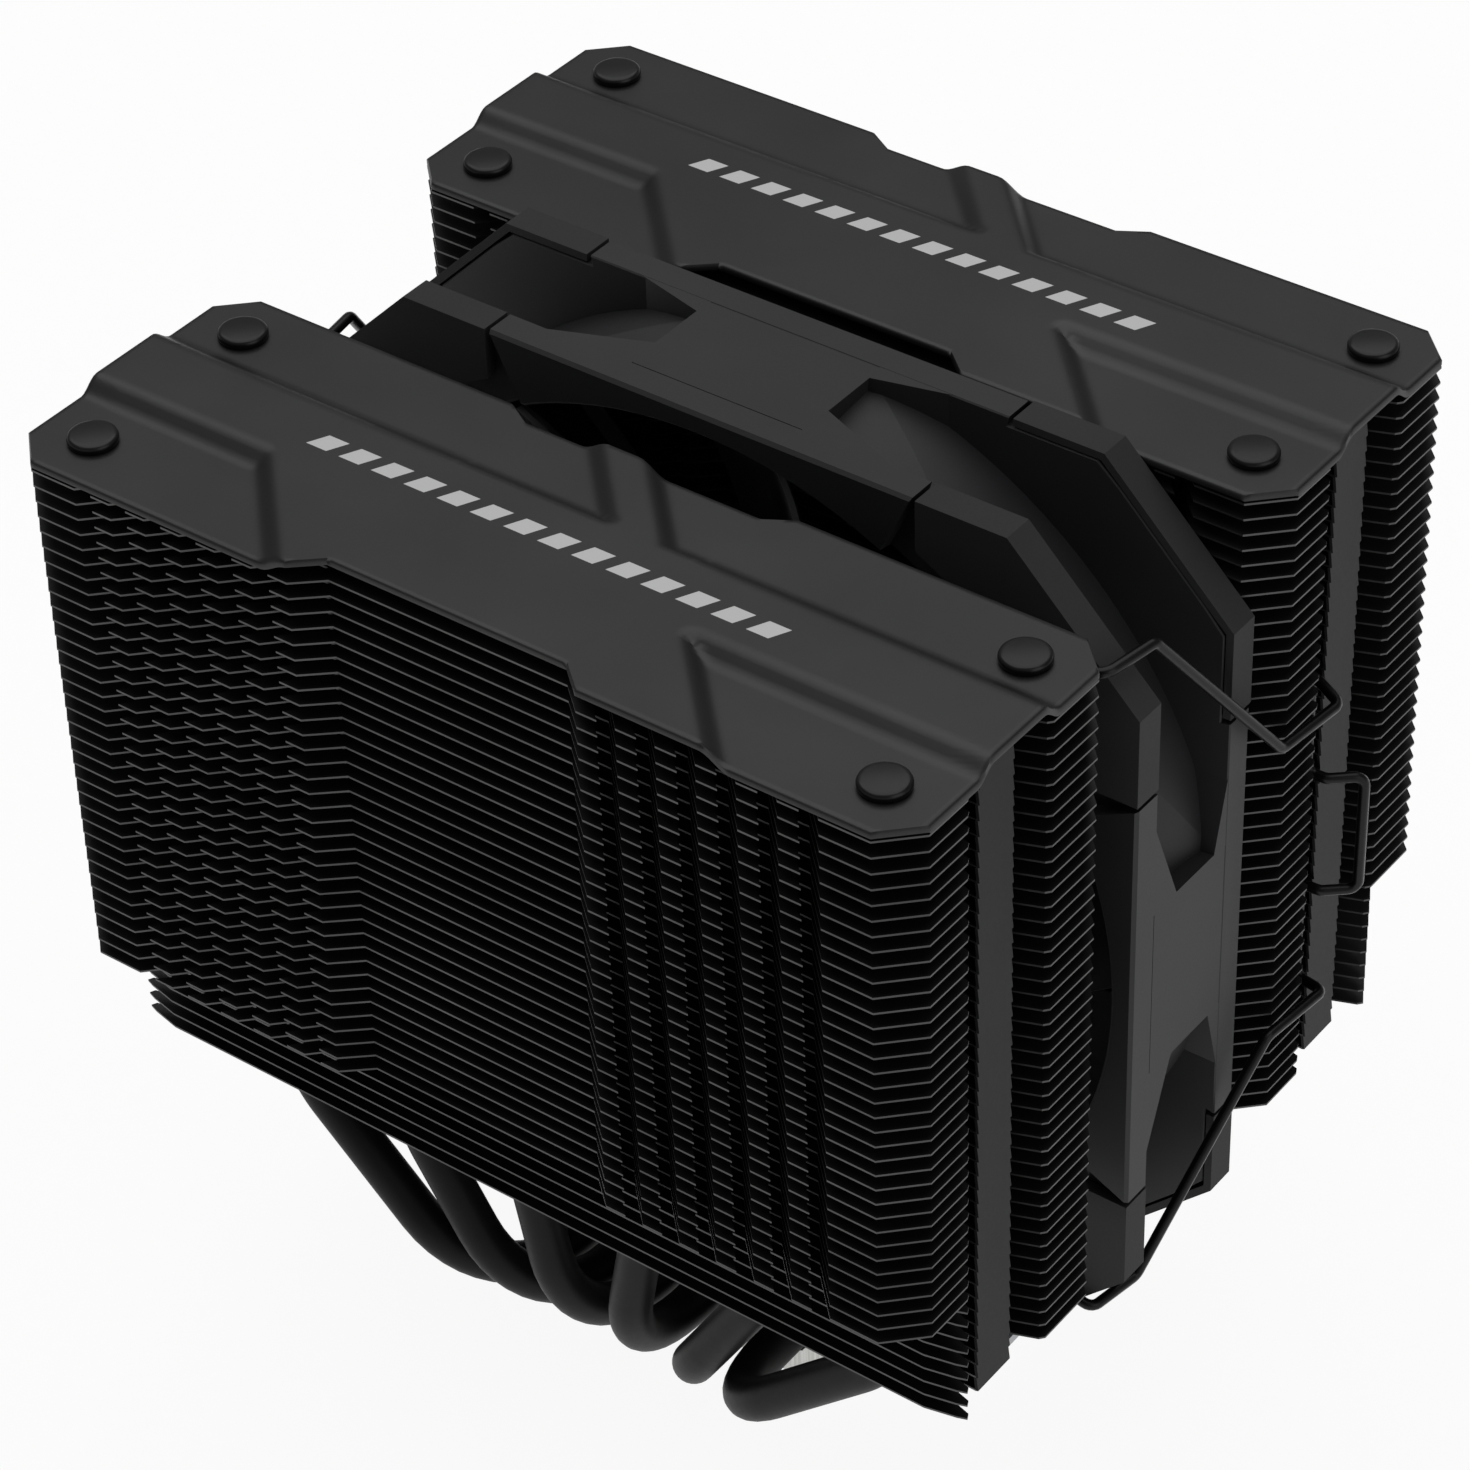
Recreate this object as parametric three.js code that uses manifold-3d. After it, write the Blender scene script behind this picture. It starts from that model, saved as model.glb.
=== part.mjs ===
// Twin-tower CPU air cooler: six U-shaped heat pipes, two fin towers with
// stamped covers, and one 140 mm fan hung between the towers on wire clips.
//
// Millimetres, +Z up. The origin is the centre of the cold plate's contact
// face. X runs along the towers and Y from the front tower to the rear one.

import * as THREE from 'three';
import { mergeVertices } from 'three/addons/utils/BufferGeometryUtils.js';
import Module from 'manifold-3d';

const wasm = await Module();
wasm.setup();

// ---------------------------------------------------------------- dimensions

const clearance = 0.3; // between separate pieces that only touch
const runningGap = 0.1; // radial, round a turning shaft or screw

// Towers
const towerLength = 145;
const towerDepth = 46.4;
const fanBay = 36.4; // between the two towers
const towerTop = 156; // top of the covers' low level, above the contact face
const cornerChamfer = 5;
const finBottom = 49.9;
const stepHeight = 71.2; // below this the fins' outer side is cut back
const stepSetback = 11.5;
const stepCorner = { run: 6, rise: 1, setback: 1.4 };
const finCount = 10;
const finThickness = 1.8;
const outerRecess = { halfWidth: 23.3, depth: 3.5, run: 4 };
const innerRecess = { halfWidth: 23.5, depth: 2.5, run: 4.2 };

// Wire slot, folded tab strip and open notch on the towers' short sides, as
// distances along Y from the tower's centre line
const slotMouth = -9.4;
const slotFloor = -8.2;
const slotDepth = 4.9;
const stripStart = -5.2;
const stripEnd = 2.6;
const stripSetback = 2.1;
const stripThickness = 0.6;
const notchEnd = 7.6;
const notchDepth = 4.8;
const notchFlat = 2; // length of the notch's floor

// Covers
const sheet = 1;
const ridgeHeight = 2;
const slopeRun = 2.2; // horizontal run of the ridge's flanks
const slantStretch = 1.38; // of an inset, measured along X across a slanted crease
const ridgeFront = -7.5;
const ridgeRear = 9;
const branchSlant = 0.955; // the branches move this far along X for each mm of Y
const frontBranch = { left: -27, right: 46 }; // feet at the cover's front edge
const rearBranch = { left: -9.2, right: 3.4 }; // feet at the recessed rear edge
const studInset = { x: 8.7, y: 8.2 };
const studRadius = 3.5;
const studRise = 1.3;
const studShoulder = { radius: 0.72, height: 0.6 }; // shares of the head's radius and rise
const studStem = { radius: 1.5, length: 4.5 };

// Heat pipes
const pipeRadius = 3.2;
const pipeHeight = 8.7; // centre line in the base
const pipeBaseGap = 1.2; // between neighbouring pipes in the base
const pipeTowerX = [52.5, 30.7, 10]; // outer, middle and inner pipes
const pipeKnee = 39.8; // height where the legs stop leaning
const upperBend = 14.2;
const lowerBend = 18.4;
const pipeEndGap = 0.7; // below the ridge's inside

// Base
const baseHalfWidth = 28;
const baseHalfDepth = 20;
const blockTop = 14.5;
const baseJoint = 0.6; // between cold plate and clamp block
const barThickness = 1.5;
const barWidth = 14;
const barEndTop = 8;
const barHalfLength = 46;
const screwX = 41;
const screwRadius = 1.5;
const screwHoleGap = 0.4;
const screwHead = { radius: 4, height: 3.4 };
const screwTip = 4.6;
const springWire = 0.35;
const springRadius = 2.6;
const springTurns = 3;
const springSteps = 8; // straight pieces in each turn
const springSpace = 6.3; // between the bar and the screw's head
const ringThickness = 0.8;
const ringRadius = 3.1;
const ringGap = 0.4; // below the bar
const driveSlot = { width: 1.2, depth: 1 };
const barScrewX = 15.2;
const barScrew = { headRadius: 2.6, headDepth: 1.2, radius: 1.4, reach: 2.2 };
const barBend = { start: 1, run: 3 }; // the bar's step down, past the clamp block

// Fan
const fanSize = 140;
const fanChamfer = 20.5;
const fanDepth = 27.4;
const fanBottom = 18.5;
const flangeThickness = 5;
const boreWall = 3.5; // between the bore and the fan's flat sides
const ductWall = 2;
const panelHalf = 14.3; // half width of the flat outer panel on each side of the duct
const holeGap = 5.75; // from the duct to the middle of a corner hole
const holeRadius = 2.3;
const padReach = 35; // of a pad along the fan's sides, from the corner
const padSkin = 1.2;
const padFace = 1.8;
const padBack = 3; // from the duct to the pads
const padInset = 14.5; // from the fan's side to where a pad's end turns off
const bladeCount = 9;
const tipGap = 1.2;
const bladeChord = 34;
const bladePitch = 36; // degrees from the fan's plane
const bladeThickness = 1.6;
const bladeCamber = 3;
const bladeRoot = 2; // how far a blade reaches into the hub's wall before it is trimmed
const hubRadius = 21;
const hubLength = 20;
const hubSetback = 2; // behind the frame's front
const hubEdge = 1;
const cupLength = 17;
const shaftBoss = { wall: 2, depth: 4 };
const hubWall = 1.5;
const hubCap = 2.5;
const motorPlate = 3;
const armWidth = 5;
const shaftRadius = 1.5;
const shaftFit = 0.02;
const shaftEndGap = 1;
const bearingRadius = 4;
const bearingStart = 5; // behind the hub's front
const bearingEndGap = 0.5;
const holderWall = 1.3;
const magnetThickness = 1.6;
const magnetStart = 4;
const statorSpan = [6, 14]; // behind the hub's front
const statorWall = 3;
const poleWidth = 5;
const poleTipGap = 0.5; // corners of a pole inside the stator's round
const airGap = 0.6;
const boardThickness = 1.2;
const boardGap = 1;

// Fan clips
const wireRadius = 0.8;
const wireBend = 1.6;
const clipLift = 2; // of the hooks, above the fan's centre
const clipFaceGap = 0.4; // between the wire and the fan's front face
const clipTipReach = 3.3; // of the wire's tip into the fan's hole
const cornerInset = { x: 4.5, y: 7.9 }; // where the wire crosses the fan's chamfer
const cornerGap = 2.1; // from the chamfer to the wire, along Z
const cornerLean = 1.5; // of the wire away from the fan as it crosses
const armGap = { fan: 2.5, bow: 1.2, tower: 2.5 }; // outside the fan and the towers' sides
const armBehindEdge = 2; // where an arm passes the tower's edge
const armPastSlot = 0.9;
const armDrop = 25.6; // half the distance between the arms where they meet the tower
const legGap = { slot: 0.9, strip: 0.4 }; // round the wire, behind the folded strip
const loopStart = 0.2; // the loop's slope as it leaves the slot
const loopSlope = 3.6;
const hookHalfHeight = 27;
const loopHalfHeight = 10;
const loopReach = 4; // of the finger loop, past the tower's side

// ------------------------------------------------------- values that follow

const halfPitch = (towerDepth + fanBay) / 2; // from the middle to a tower's centre
const halfLength = towerLength / 2;
const halfDepth = towerDepth / 2;
const finTop = towerTop - sheet - clearance;
const finStep = (finTop - finBottom - finThickness) / (finCount - 1);
const cutBack = halfDepth - stepSetback;
const stripX = halfLength - stripSetback;
const legX = halfLength - slotDepth + wireRadius + legGap.slot;
const legY = stripStart - wireRadius - legGap.strip;
const studX = halfLength - studInset.x;
const studY = halfDepth - studInset.y;
const pipeBasePitch = 2 * pipeRadius + pipeBaseGap;
const pipeTop = towerTop + ridgeHeight - sheet - pipeEndGap;
const fanCentre = fanBottom + fanSize / 2;
const fanHalf = fanSize / 2;
const fanRear = halfPitch - halfDepth - clearance;
const fanFront = fanRear - fanDepth;
const boreRadius = fanHalf - boreWall;
const ductRadius = boreRadius + ductWall;
const holePlace = (ductRadius + holeGap) / Math.SQRT2;
const armX = Math.max(halfLength, fanHalf + armGap.fan);
const padBore = ductRadius + padBack;
const padStart = fanHalf - padReach;
const padInner = fanHalf - padInset;
const hubFront = fanFront + hubSetback;
const hubRear = hubFront + hubLength;
const cupRear = hubFront + cupLength;
const springTop = barEndTop + springSpace;
const barEndBottom = barEndTop - barThickness;
const ringTop = barEndBottom - ringGap;

// ------------------------------------------------------------------ finishes

const finish = (color, roughness, metalness) => (
  new THREE.MeshStandardMaterial({ color, roughness, metalness })
);
const paint = finish(0x343434, 0.45, 0.6);
const finBlack = finish(0x0c0c0c, 0.55, 0.5);
const pipeBlack = finish(0x161616, 0.35, 0.6);
const studBlack = finish(0x121212, 0.25, 0.4);
const plate = finish(0xb9b9b7, 0.3, 1);
const steel = finish(0x8f9194, 0.35, 1);
const wire = finish(0x1c1c1c, 0.35, 0.8);
const plastic = finish(0x3a3a3c, 0.6, 0);
const blade = finish(0x2c2c2e, 0.5, 0);
const rubber = finish(0x232323, 0.85, 0);
const copper = finish(0x8a4b2a, 0.4, 1);
const ferrite = finish(0x3a3836, 0.7, 0.3);
const board = finish(0x1d4a2c, 0.6, 0);

// ------------------------------------------------------------------- helpers

const cooler = new THREE.Group();

function add(name, shape, material) {
  const geometry = shape.isBufferGeometry ? shape : toGeometry(shape);
  const mesh = new THREE.Mesh(geometry, material);
  mesh.name = name;
  cooler.add(mesh);
}

function toSolid(geometry) {
  const bare = geometry.clone();
  bare.deleteAttribute('normal');
  bare.deleteAttribute('uv');
  const merged = mergeVertices(bare, 1e-4);
  return new wasm.Manifold(new wasm.Mesh({
    numProp: 3,
    vertProperties: new Float32Array(merged.attributes.position.array),
    triVerts: new Uint32Array(merged.index.array),
  }));
}

function toGeometry(solid) {
  const mesh = solid.getMesh();
  const geometry = new THREE.BufferGeometry();
  geometry.setAttribute('position', new THREE.BufferAttribute(mesh.vertProperties, 3));
  geometry.setIndex(new THREE.BufferAttribute(mesh.triVerts, 1));
  return geometry;
}

const join = (solids) => solids.reduce((all, next) => all.add(next));

function circle(x, y, radius, sides) {
  return Array.from({ length: sides }, (_, i) => {
    const angle = ((i + 0.5) / sides) * 2 * Math.PI;
    return [x + radius * Math.cos(angle), y + radius * Math.sin(angle)];
  });
}

// A hole with flat sides that never come closer than radius to its centre
const hole = (x, y, radius, sides = 6) => (
  circle(x, y, radius / Math.cos(Math.PI / sides), sides)
);

const toVectors = (points) => points.map(([x, y]) => new THREE.Vector2(x, y));

// An outline in X and Y, extruded from z0 up to z1
function prismZ(outline, z0, z1, holes = []) {
  const shape = new THREE.Shape(toVectors(outline));
  shape.holes = holes.map((points) => new THREE.Path(toVectors(points)));
  const geometry = new THREE.ExtrudeGeometry(shape, { depth: z1 - z0, bevelEnabled: false });
  return geometry.translate(0, 0, z0);
}

// An outline in X and Z, extruded from y0 to y1
function prismY(outline, y0, y1, holes = []) {
  return prismZ(outline, -y1, -y0, holes).rotateX(Math.PI / 2);
}

// A closed solid between two outlines with the same number of points
function loft(lower, upper, z0, z1) {
  const n = lower.length;
  const position = [...lower.map(([x, y]) => [x, y, z0]), ...upper.map(([x, y]) => [x, y, z1])];
  const index = [];
  for (const [a, b, c] of THREE.ShapeUtils.triangulateShape(toVectors(lower), [])) {
    index.push(c, b, a);
    index.push(a + n, b + n, c + n);
  }
  for (let i = 0; i < n; i += 1) {
    const next = (i + 1) % n;
    index.push(i, next, next + n, i, next + n, i + n);
  }
  const geometry = new THREE.BufferGeometry();
  geometry.setAttribute('position', new THREE.Float32BufferAttribute(position.flat(), 3));
  geometry.setIndex(index);
  return geometry;
}

// A route of straight runs joined by arcs, which is sampled only where it turns
class BentRoute extends THREE.Curve {
  constructor(corners, radii, arcSteps) {
    super();
    const points = corners.map((corner) => new THREE.Vector3(...corner));
    this.stations = [];
    const last = points.length - 1;
    for (let i = 0; i <= last; i += 1) {
      const back = points[Math.max(i, 1)].clone().sub(points[Math.max(i, 1) - 1]).normalize();
      const onward = points[Math.min(i, last - 1) + 1].clone()
        .sub(points[Math.min(i, last - 1)]).normalize();
      const turn = back.angleTo(onward);
      if (i === 0 || i === last || turn < 1e-3) {
        this.stations.push({ point: points[i], tangent: onward });
      } else {
        this.addArc(points[i], back, onward, turn, radii[i - 1] ?? radii[0], arcSteps);
      }
    }
  }

  addArc(corner, back, onward, turn, radius, steps) {
    const inward = onward.clone().sub(back).normalize();
    const centre = corner.clone().addScaledVector(inward, radius / Math.cos(turn / 2));
    for (let k = 0; k <= steps; k += 1) {
      const angle = (k / steps - 0.5) * turn;
      const along = onward.clone().add(back).normalize();
      const spoke = inward.clone().multiplyScalar(-Math.cos(angle))
        .addScaledVector(along, Math.sin(angle));
      this.stations.push({
        point: centre.clone().addScaledVector(spoke, radius),
        tangent: along.multiplyScalar(Math.cos(angle)).addScaledVector(inward, Math.sin(angle)),
      });
    }
  }

  at(u) {
    return this.stations[Math.round(u * (this.stations.length - 1))];
  }

  getPointAt(u, target = new THREE.Vector3()) {
    return target.copy(this.at(u).point);
  }

  getPoint(u, target) {
    return this.getPointAt(u, target);
  }

  getTangentAt(u, target = new THREE.Vector3()) {
    return target.copy(this.at(u).tangent).normalize();
  }
}

function bentRod(corners, radii, rodRadius, sides, arcSteps) {
  const route = new BentRoute(corners, radii, arcSteps);
  const section = new THREE.Shape(toVectors(circle(0, 0, rodRadius, sides)));
  return new THREE.ExtrudeGeometry(section, {
    extrudePath: route, steps: route.stations.length - 1, bevelEnabled: false,
  });
}

// A body of revolution about Y, from a closed profile of [radius, y] points
function turned(profile, segments, centreZ) {
  const loop = toVectors([...profile, profile[0]]);
  const geometry = new THREE.LatheGeometry(loop, segments);
  const solid = toSolid(geometry);
  const outward = solid.volume() > 0 ? solid : toSolid(geometry.scale(-1, 1, 1));
  return outward.translate([0, 0, centreZ]);
}

// ---------------------------------------------------------------- fin towers

// Outline of a fin, or of a cover, about its tower's centre line. The short
// sides are plain on a cover. cutSide is -1 or 1 where that long side is cut
// back to the lower fins' edge.
function towerOutline({ plainSides, cutSide }) {
  const frontEdge = cutSide === -1
    ? [[-halfLength + stepCorner.run, -cutBack], [halfLength - stepCorner.run, -cutBack]]
    : [
      [-halfLength + cornerChamfer, -halfDepth],
      [-outerRecess.halfWidth, -halfDepth],
      [-outerRecess.halfWidth + outerRecess.run, -halfDepth + outerRecess.depth],
      [outerRecess.halfWidth - outerRecess.run, -halfDepth + outerRecess.depth],
      [outerRecess.halfWidth, -halfDepth],
      [halfLength - cornerChamfer, -halfDepth],
    ];
  const rearEdge = cutSide === 1
    ? [[halfLength - stepCorner.run, cutBack], [-halfLength + stepCorner.run, cutBack]]
    : [
      [halfLength - cornerChamfer, halfDepth],
      [innerRecess.halfWidth, halfDepth],
      [innerRecess.halfWidth - innerRecess.run, halfDepth - innerRecess.depth],
      [-innerRecess.halfWidth + innerRecess.run, halfDepth - innerRecess.depth],
      [-innerRecess.halfWidth, halfDepth],
      [-halfLength + cornerChamfer, halfDepth],
    ];
  const frontCorner = cutSide === -1
    ? [halfLength - stepCorner.setback, -cutBack + stepCorner.rise]
    : [halfLength, -halfDepth + cornerChamfer];
  const rearCorner = cutSide === 1
    ? [halfLength - stepCorner.setback, cutBack - stepCorner.rise]
    : [halfLength, halfDepth - cornerChamfer];
  const short = plainSides ? [] : [
    [halfLength, slotMouth],
    [halfLength - slotDepth, slotFloor],
    [halfLength - slotDepth, stripStart],
    [stripX - stripThickness / 2, stripStart],
    [stripX - stripThickness / 2, stripEnd],
    [halfLength - notchDepth, (stripEnd + notchEnd - notchFlat) / 2],
    [halfLength - notchDepth, (stripEnd + notchEnd + notchFlat) / 2],
    [halfLength, notchEnd],
  ];
  const right = [frontCorner, ...short, rearCorner];
  const left = right.map(([x, y]) => [-x, y]).reverse();
  return [...frontEdge, ...right, ...rearEdge, ...left];
}

const pipeXs = [...pipeTowerX.map((x) => -x), ...pipeTowerX.slice().reverse()];
const studPlaces = [[-studX, -studY], [studX, -studY], [-studX, studY], [studX, studY]];

function finStack(cutSide) {
  const pipeHoles = pipeXs.map((x) => hole(x, 0, pipeRadius + clearance));
  const studHoles = studPlaces.map(([x, y]) => hole(x, y, studStem.radius + clearance));
  const fins = Array.from({ length: finCount }, (_, i) => {
    const z = finBottom + i * finStep;
    const isTop = i === finCount - 1;
    const outline = towerOutline({ cutSide: z + finThickness < stepHeight ? cutSide : 0 });
    const holes = isTop ? [...pipeHoles, ...studHoles] : pipeHoles;
    return toSolid(prismZ(outline, z, z + finThickness, holes));
  });
  const strips = [-1, 1].map((side) => {
    const x = side * (stripX - stripThickness / 2);
    const half = stripThickness / 2;
    const outline = [[x - half, stripStart], [x + half, stripStart],
      [x + half, stripEnd], [x - half, stripEnd]];
    return toSolid(prismZ(outline, finBottom, finTop));
  });
  return join([...fins, ...strips]);
}

// -------------------------------------------------------------------- covers

// The raised part's outline. inset moves its creases inwards, and overrun
// carries it past the sheet's edges, for the hollow underneath.
function ridgeOutline(inset, overrun) {
  const shift = inset * slantStretch;
  const frontY = -halfDepth - overrun;
  const rearY = halfDepth - innerRecess.depth + overrun;
  const endX = halfLength + overrun;
  const front = (x, y) => x - branchSlant * (y + halfDepth);
  const rear = (x, y) => x - branchSlant * (y - halfDepth + innerRecess.depth);
  const low = ridgeFront + inset;
  const high = ridgeRear - inset;
  return [
    [front(frontBranch.left + shift, frontY), frontY],
    [front(frontBranch.right - shift, frontY), frontY],
    [front(frontBranch.right - shift, low), low],
    [endX, low],
    [endX, high],
    [rear(rearBranch.right - shift, high), high],
    [rear(rearBranch.right - shift, rearY), rearY],
    [rear(rearBranch.left + shift, rearY), rearY],
    [rear(rearBranch.left + shift, high), high],
    [-endX, high],
    [-endX, low],
    [front(frontBranch.left + shift, low), low],
  ];
}

function cover() {
  const outline = towerOutline({ plainSides: true, cutSide: 0 });
  const bottom = towerTop - sheet;
  const blank = toSolid(prismZ(outline, bottom, towerTop + ridgeHeight));
  const low = toSolid(prismZ(outline, bottom, towerTop));
  const ridge = toSolid(loft(
    ridgeOutline(0, 1), ridgeOutline(slopeRun, 1), towerTop - 0.01, towerTop + ridgeHeight,
  ));
  const hollow = toSolid(loft(
    ridgeOutline(sheet, 2), ridgeOutline(slopeRun + sheet, 2),
    bottom - 0.01, towerTop + ridgeHeight - sheet,
  ));
  const holes = studPlaces.map(([x, y]) => (
    toSolid(prismZ(hole(x, y, studStem.radius + clearance), bottom - 1, towerTop + 1))
  ));
  return low.add(ridge.intersect(blank)).subtract(join([hollow, ...holes]));
}

function coverStud(x, y) {
  const profile = [
    [0, towerTop + studRise],
    [studRadius * studShoulder.radius, towerTop + studRise],
    [studRadius, towerTop + studRise * studShoulder.height],
    [studRadius, towerTop],
    [studStem.radius, towerTop],
    [studStem.radius, towerTop - studStem.length],
    [0, towerTop - studStem.length],
  ];
  return turned(profile, 12, 0).rotate([90, 0, 0]).translate([x, y, 0]);
}

const towers = [['front', -1], ['rear', 1]];
for (const [side, sign] of towers) {
  const y = sign * halfPitch;
  add(`${side}_fin_stack`, finStack(sign).translate([0, y, 0]), finBlack);
  add(`${side}_cover`, cover().translate([0, y, 0]), paint);
  studPlaces.forEach(([studAtX, studAtY], i) => {
    add(`${side}_cover_stud_${i + 1}`, coverStud(studAtX, y + studAtY), studBlack);
  });
}

// ---------------------------------------------------------------- heat pipes

pipeXs.forEach((towerX, i) => {
  const baseX = (i - (pipeXs.length - 1) / 2) * pipeBasePitch;
  const leg = (sign) => [
    [towerX, sign * halfPitch, pipeTop],
    [towerX, sign * halfPitch, pipeKnee],
    [baseX, sign * halfPitch, pipeHeight],
  ];
  const corners = [...leg(-1), ...leg(1).reverse()];
  const radii = [upperBend, lowerBend, lowerBend, upperBend];
  add(`heat_pipe_${i + 1}`, bentRod(corners, radii, pipeRadius, 8, 3), pipeBlack);
});

// ---------------------------------------------------------------------- base

// Profile of one half of the base in X and Z, with a round groove for each
// pipe. jointZ is the face that meets the other half.
function groovedProfile(flatZ, jointZ) {
  const up = Math.sign(jointZ - flatZ);
  const radius = pipeRadius + clearance;
  const offset = Math.abs(pipeHeight - jointZ);
  const start = Math.asin(offset / radius);
  const profile = [[baseHalfWidth, flatZ], [baseHalfWidth, jointZ]];
  for (let i = pipeXs.length - 1; i >= 0; i -= 1) {
    const x = (i - (pipeXs.length - 1) / 2) * pipeBasePitch;
    for (let k = 0; k <= 4; k += 1) {
      const angle = start + (k / 4) * (Math.PI - 2 * start);
      const z = pipeHeight - up * radius * Math.sin(angle);
      profile.push([x + radius * Math.cos(angle), z]);
    }
  }
  profile.push([-baseHalfWidth, jointZ], [-baseHalfWidth, flatZ]);
  return profile;
}

const plateJoint = pipeHeight - baseJoint / 2;
const blockJoint = pipeHeight + baseJoint / 2;
const plateProfile = groovedProfile(0, plateJoint).reverse();
add('cold_plate', prismY(plateProfile, -baseHalfDepth, baseHalfDepth), plate);

const barTop = blockTop + barThickness;
const blockBody = toSolid(
  prismY(groovedProfile(blockTop, blockJoint), -baseHalfDepth, baseHalfDepth),
);
const barScrewHoles = [-barScrewX, barScrewX].map((x) => toSolid(prismZ(
  hole(x, 0, barScrew.radius + clearance, 8),
  barTop - barScrew.headDepth - barScrew.reach, barTop + 1,
)));
add('clamp_block', blockBody.subtract(join(barScrewHoles)), plate);

// The mounting bar lies on the clamp block and steps down to the screws
const barStep = baseHalfWidth + barBend.start;
const barHalf = [
  [barHalfLength, barEndBottom], [barHalfLength, barEndTop],
  [barStep + barBend.run + 1, barEndTop], [barStep + 1, barTop],
];
const barUnder = [[barStep, blockTop], [barStep + barBend.run, barEndBottom]];
const barProfile = [
  ...barHalf, ...barHalf.map(([x, z]) => [-x, z]).reverse(),
  ...barUnder.map(([x, z]) => [-x, z]).reverse(), ...barUnder,
];
const headSeats = [-barScrewX, barScrewX].map((x) => toSolid(loft(
  circle(x, 0, barScrew.radius + clearance, 8),
  circle(x, 0, barScrew.headRadius + clearance, 8),
  barTop - barScrew.headDepth, barTop + 0.01,
)));
const barHoles = [-screwX, screwX].map((x) => (
  toSolid(prismZ(hole(x, 0, screwRadius + screwHoleGap, 12), 0, blockTop))
));
const bar = toSolid(prismY(barProfile, -barWidth / 2, barWidth / 2))
  .subtract(join([...headSeats, ...barHoles, ...barScrewHoles]));
add('mounting_bar', bar, steel);

[['left', -1], ['right', 1]].forEach(([side, sign]) => {
  const x = sign * barScrewX;
  const head = toSolid(loft(
    circle(x, 0, barScrew.radius, 8), circle(x, 0, barScrew.headRadius, 8),
    barTop - barScrew.headDepth + clearance, barTop,
  ));
  const shank = toSolid(prismZ(
    circle(x, 0, barScrew.radius, 8),
    barTop - barScrew.headDepth - barScrew.reach + clearance, barTop - clearance,
  ));
  add(`${side}_bar_screw`, head.add(shank), steel);
});

// ------------------------------------------------------------- spring screws

class Helix extends THREE.Curve {
  constructor(x, z0, z1) {
    super();
    Object.assign(this, { x, z0, z1 });
  }

  getPoint(t, target = new THREE.Vector3()) {
    const angle = t * springTurns * 2 * Math.PI;
    return target.set(
      this.x + springRadius * Math.cos(angle),
      springRadius * Math.sin(angle),
      this.z0 + t * (this.z1 - this.z0),
    );
  }
}

for (const [side, sign] of [['left', -1], ['right', 1]]) {
  const x = sign * screwX;
  const shank = toSolid(prismZ(circle(x, 0, screwRadius, 16), screwTip, springTop + 1));
  const head = toSolid(prismZ(
    circle(x, 0, screwHead.radius, 16), springTop, springTop + screwHead.height,
  ));
  const slot = toSolid(new THREE.BoxGeometry(
    2 * screwHead.radius + 1, driveSlot.width, 2 * driveSlot.depth,
  ).translate(x, 0, springTop + screwHead.height));
  add(`${side}_spring_screw`, shank.add(head).subtract(slot), steel);

  const coil = new Helix(
    x, barEndTop + springWire + clearance / 2, springTop - springWire - clearance / 2,
  );
  const section = new THREE.Shape(toVectors(circle(0, 0, springWire, 5)));
  add(`${side}_screw_spring`, new THREE.ExtrudeGeometry(section, {
    extrudePath: coil, steps: springTurns * springSteps, bevelEnabled: false,
  }), steel);

  add(`${side}_retaining_ring`, prismZ(
    circle(x, 0, ringRadius, 16), ringTop - ringThickness, ringTop,
    [circle(x, 0, screwRadius + runningGap, 16)],
  ), steel);
}

// ----------------------------------------------------------------------- fan

// A fan flange's outline about the fan's axis, drawn in by inset
function flangeOutline(inset) {
  const half = fanHalf - inset;
  const flat = fanHalf - fanChamfer - inset * (Math.SQRT2 - 1);
  return [
    [flat, -half], [half, -flat], [half, flat], [flat, half],
    [-flat, half], [-half, flat], [-half, -flat], [-flat, -half],
  ];
}

const atFan = (geometry) => toSolid(geometry.translate(0, 0, fanCentre));
const fanSlab = (inset, y0, y1) => atFan(prismY(flangeOutline(inset), y0, y1));

// The part of the flange that one pad covers, as a cutter in X and Z
function padZone(signX, signZ, start) {
  const far = fanSize;
  const corner = [
    [start, far], [start, padInner], [padInner, start], [far, start], [far, far],
  ];
  const points = corner.map(([x, z]) => [signX * x, signZ * z]);
  return signX * signZ > 0 ? points.reverse() : points;
}

const corners = [['upper_left', -1, 1], ['upper_right', 1, 1],
  ['lower_left', -1, -1], ['lower_right', 1, -1]];
const flanges = [
  { side: 'front', y0: fanFront, y1: fanFront + flangeThickness, face: fanFront },
  { side: 'rear', y0: fanRear - flangeThickness, y1: fanRear, face: fanRear },
];
const fanHoles = corners.map(([, signX, signZ]) => atFan(prismY(
  hole(signX * holePlace, signZ * holePlace, holeRadius, 8), fanFront - 1, fanRear + 1,
)));

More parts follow.
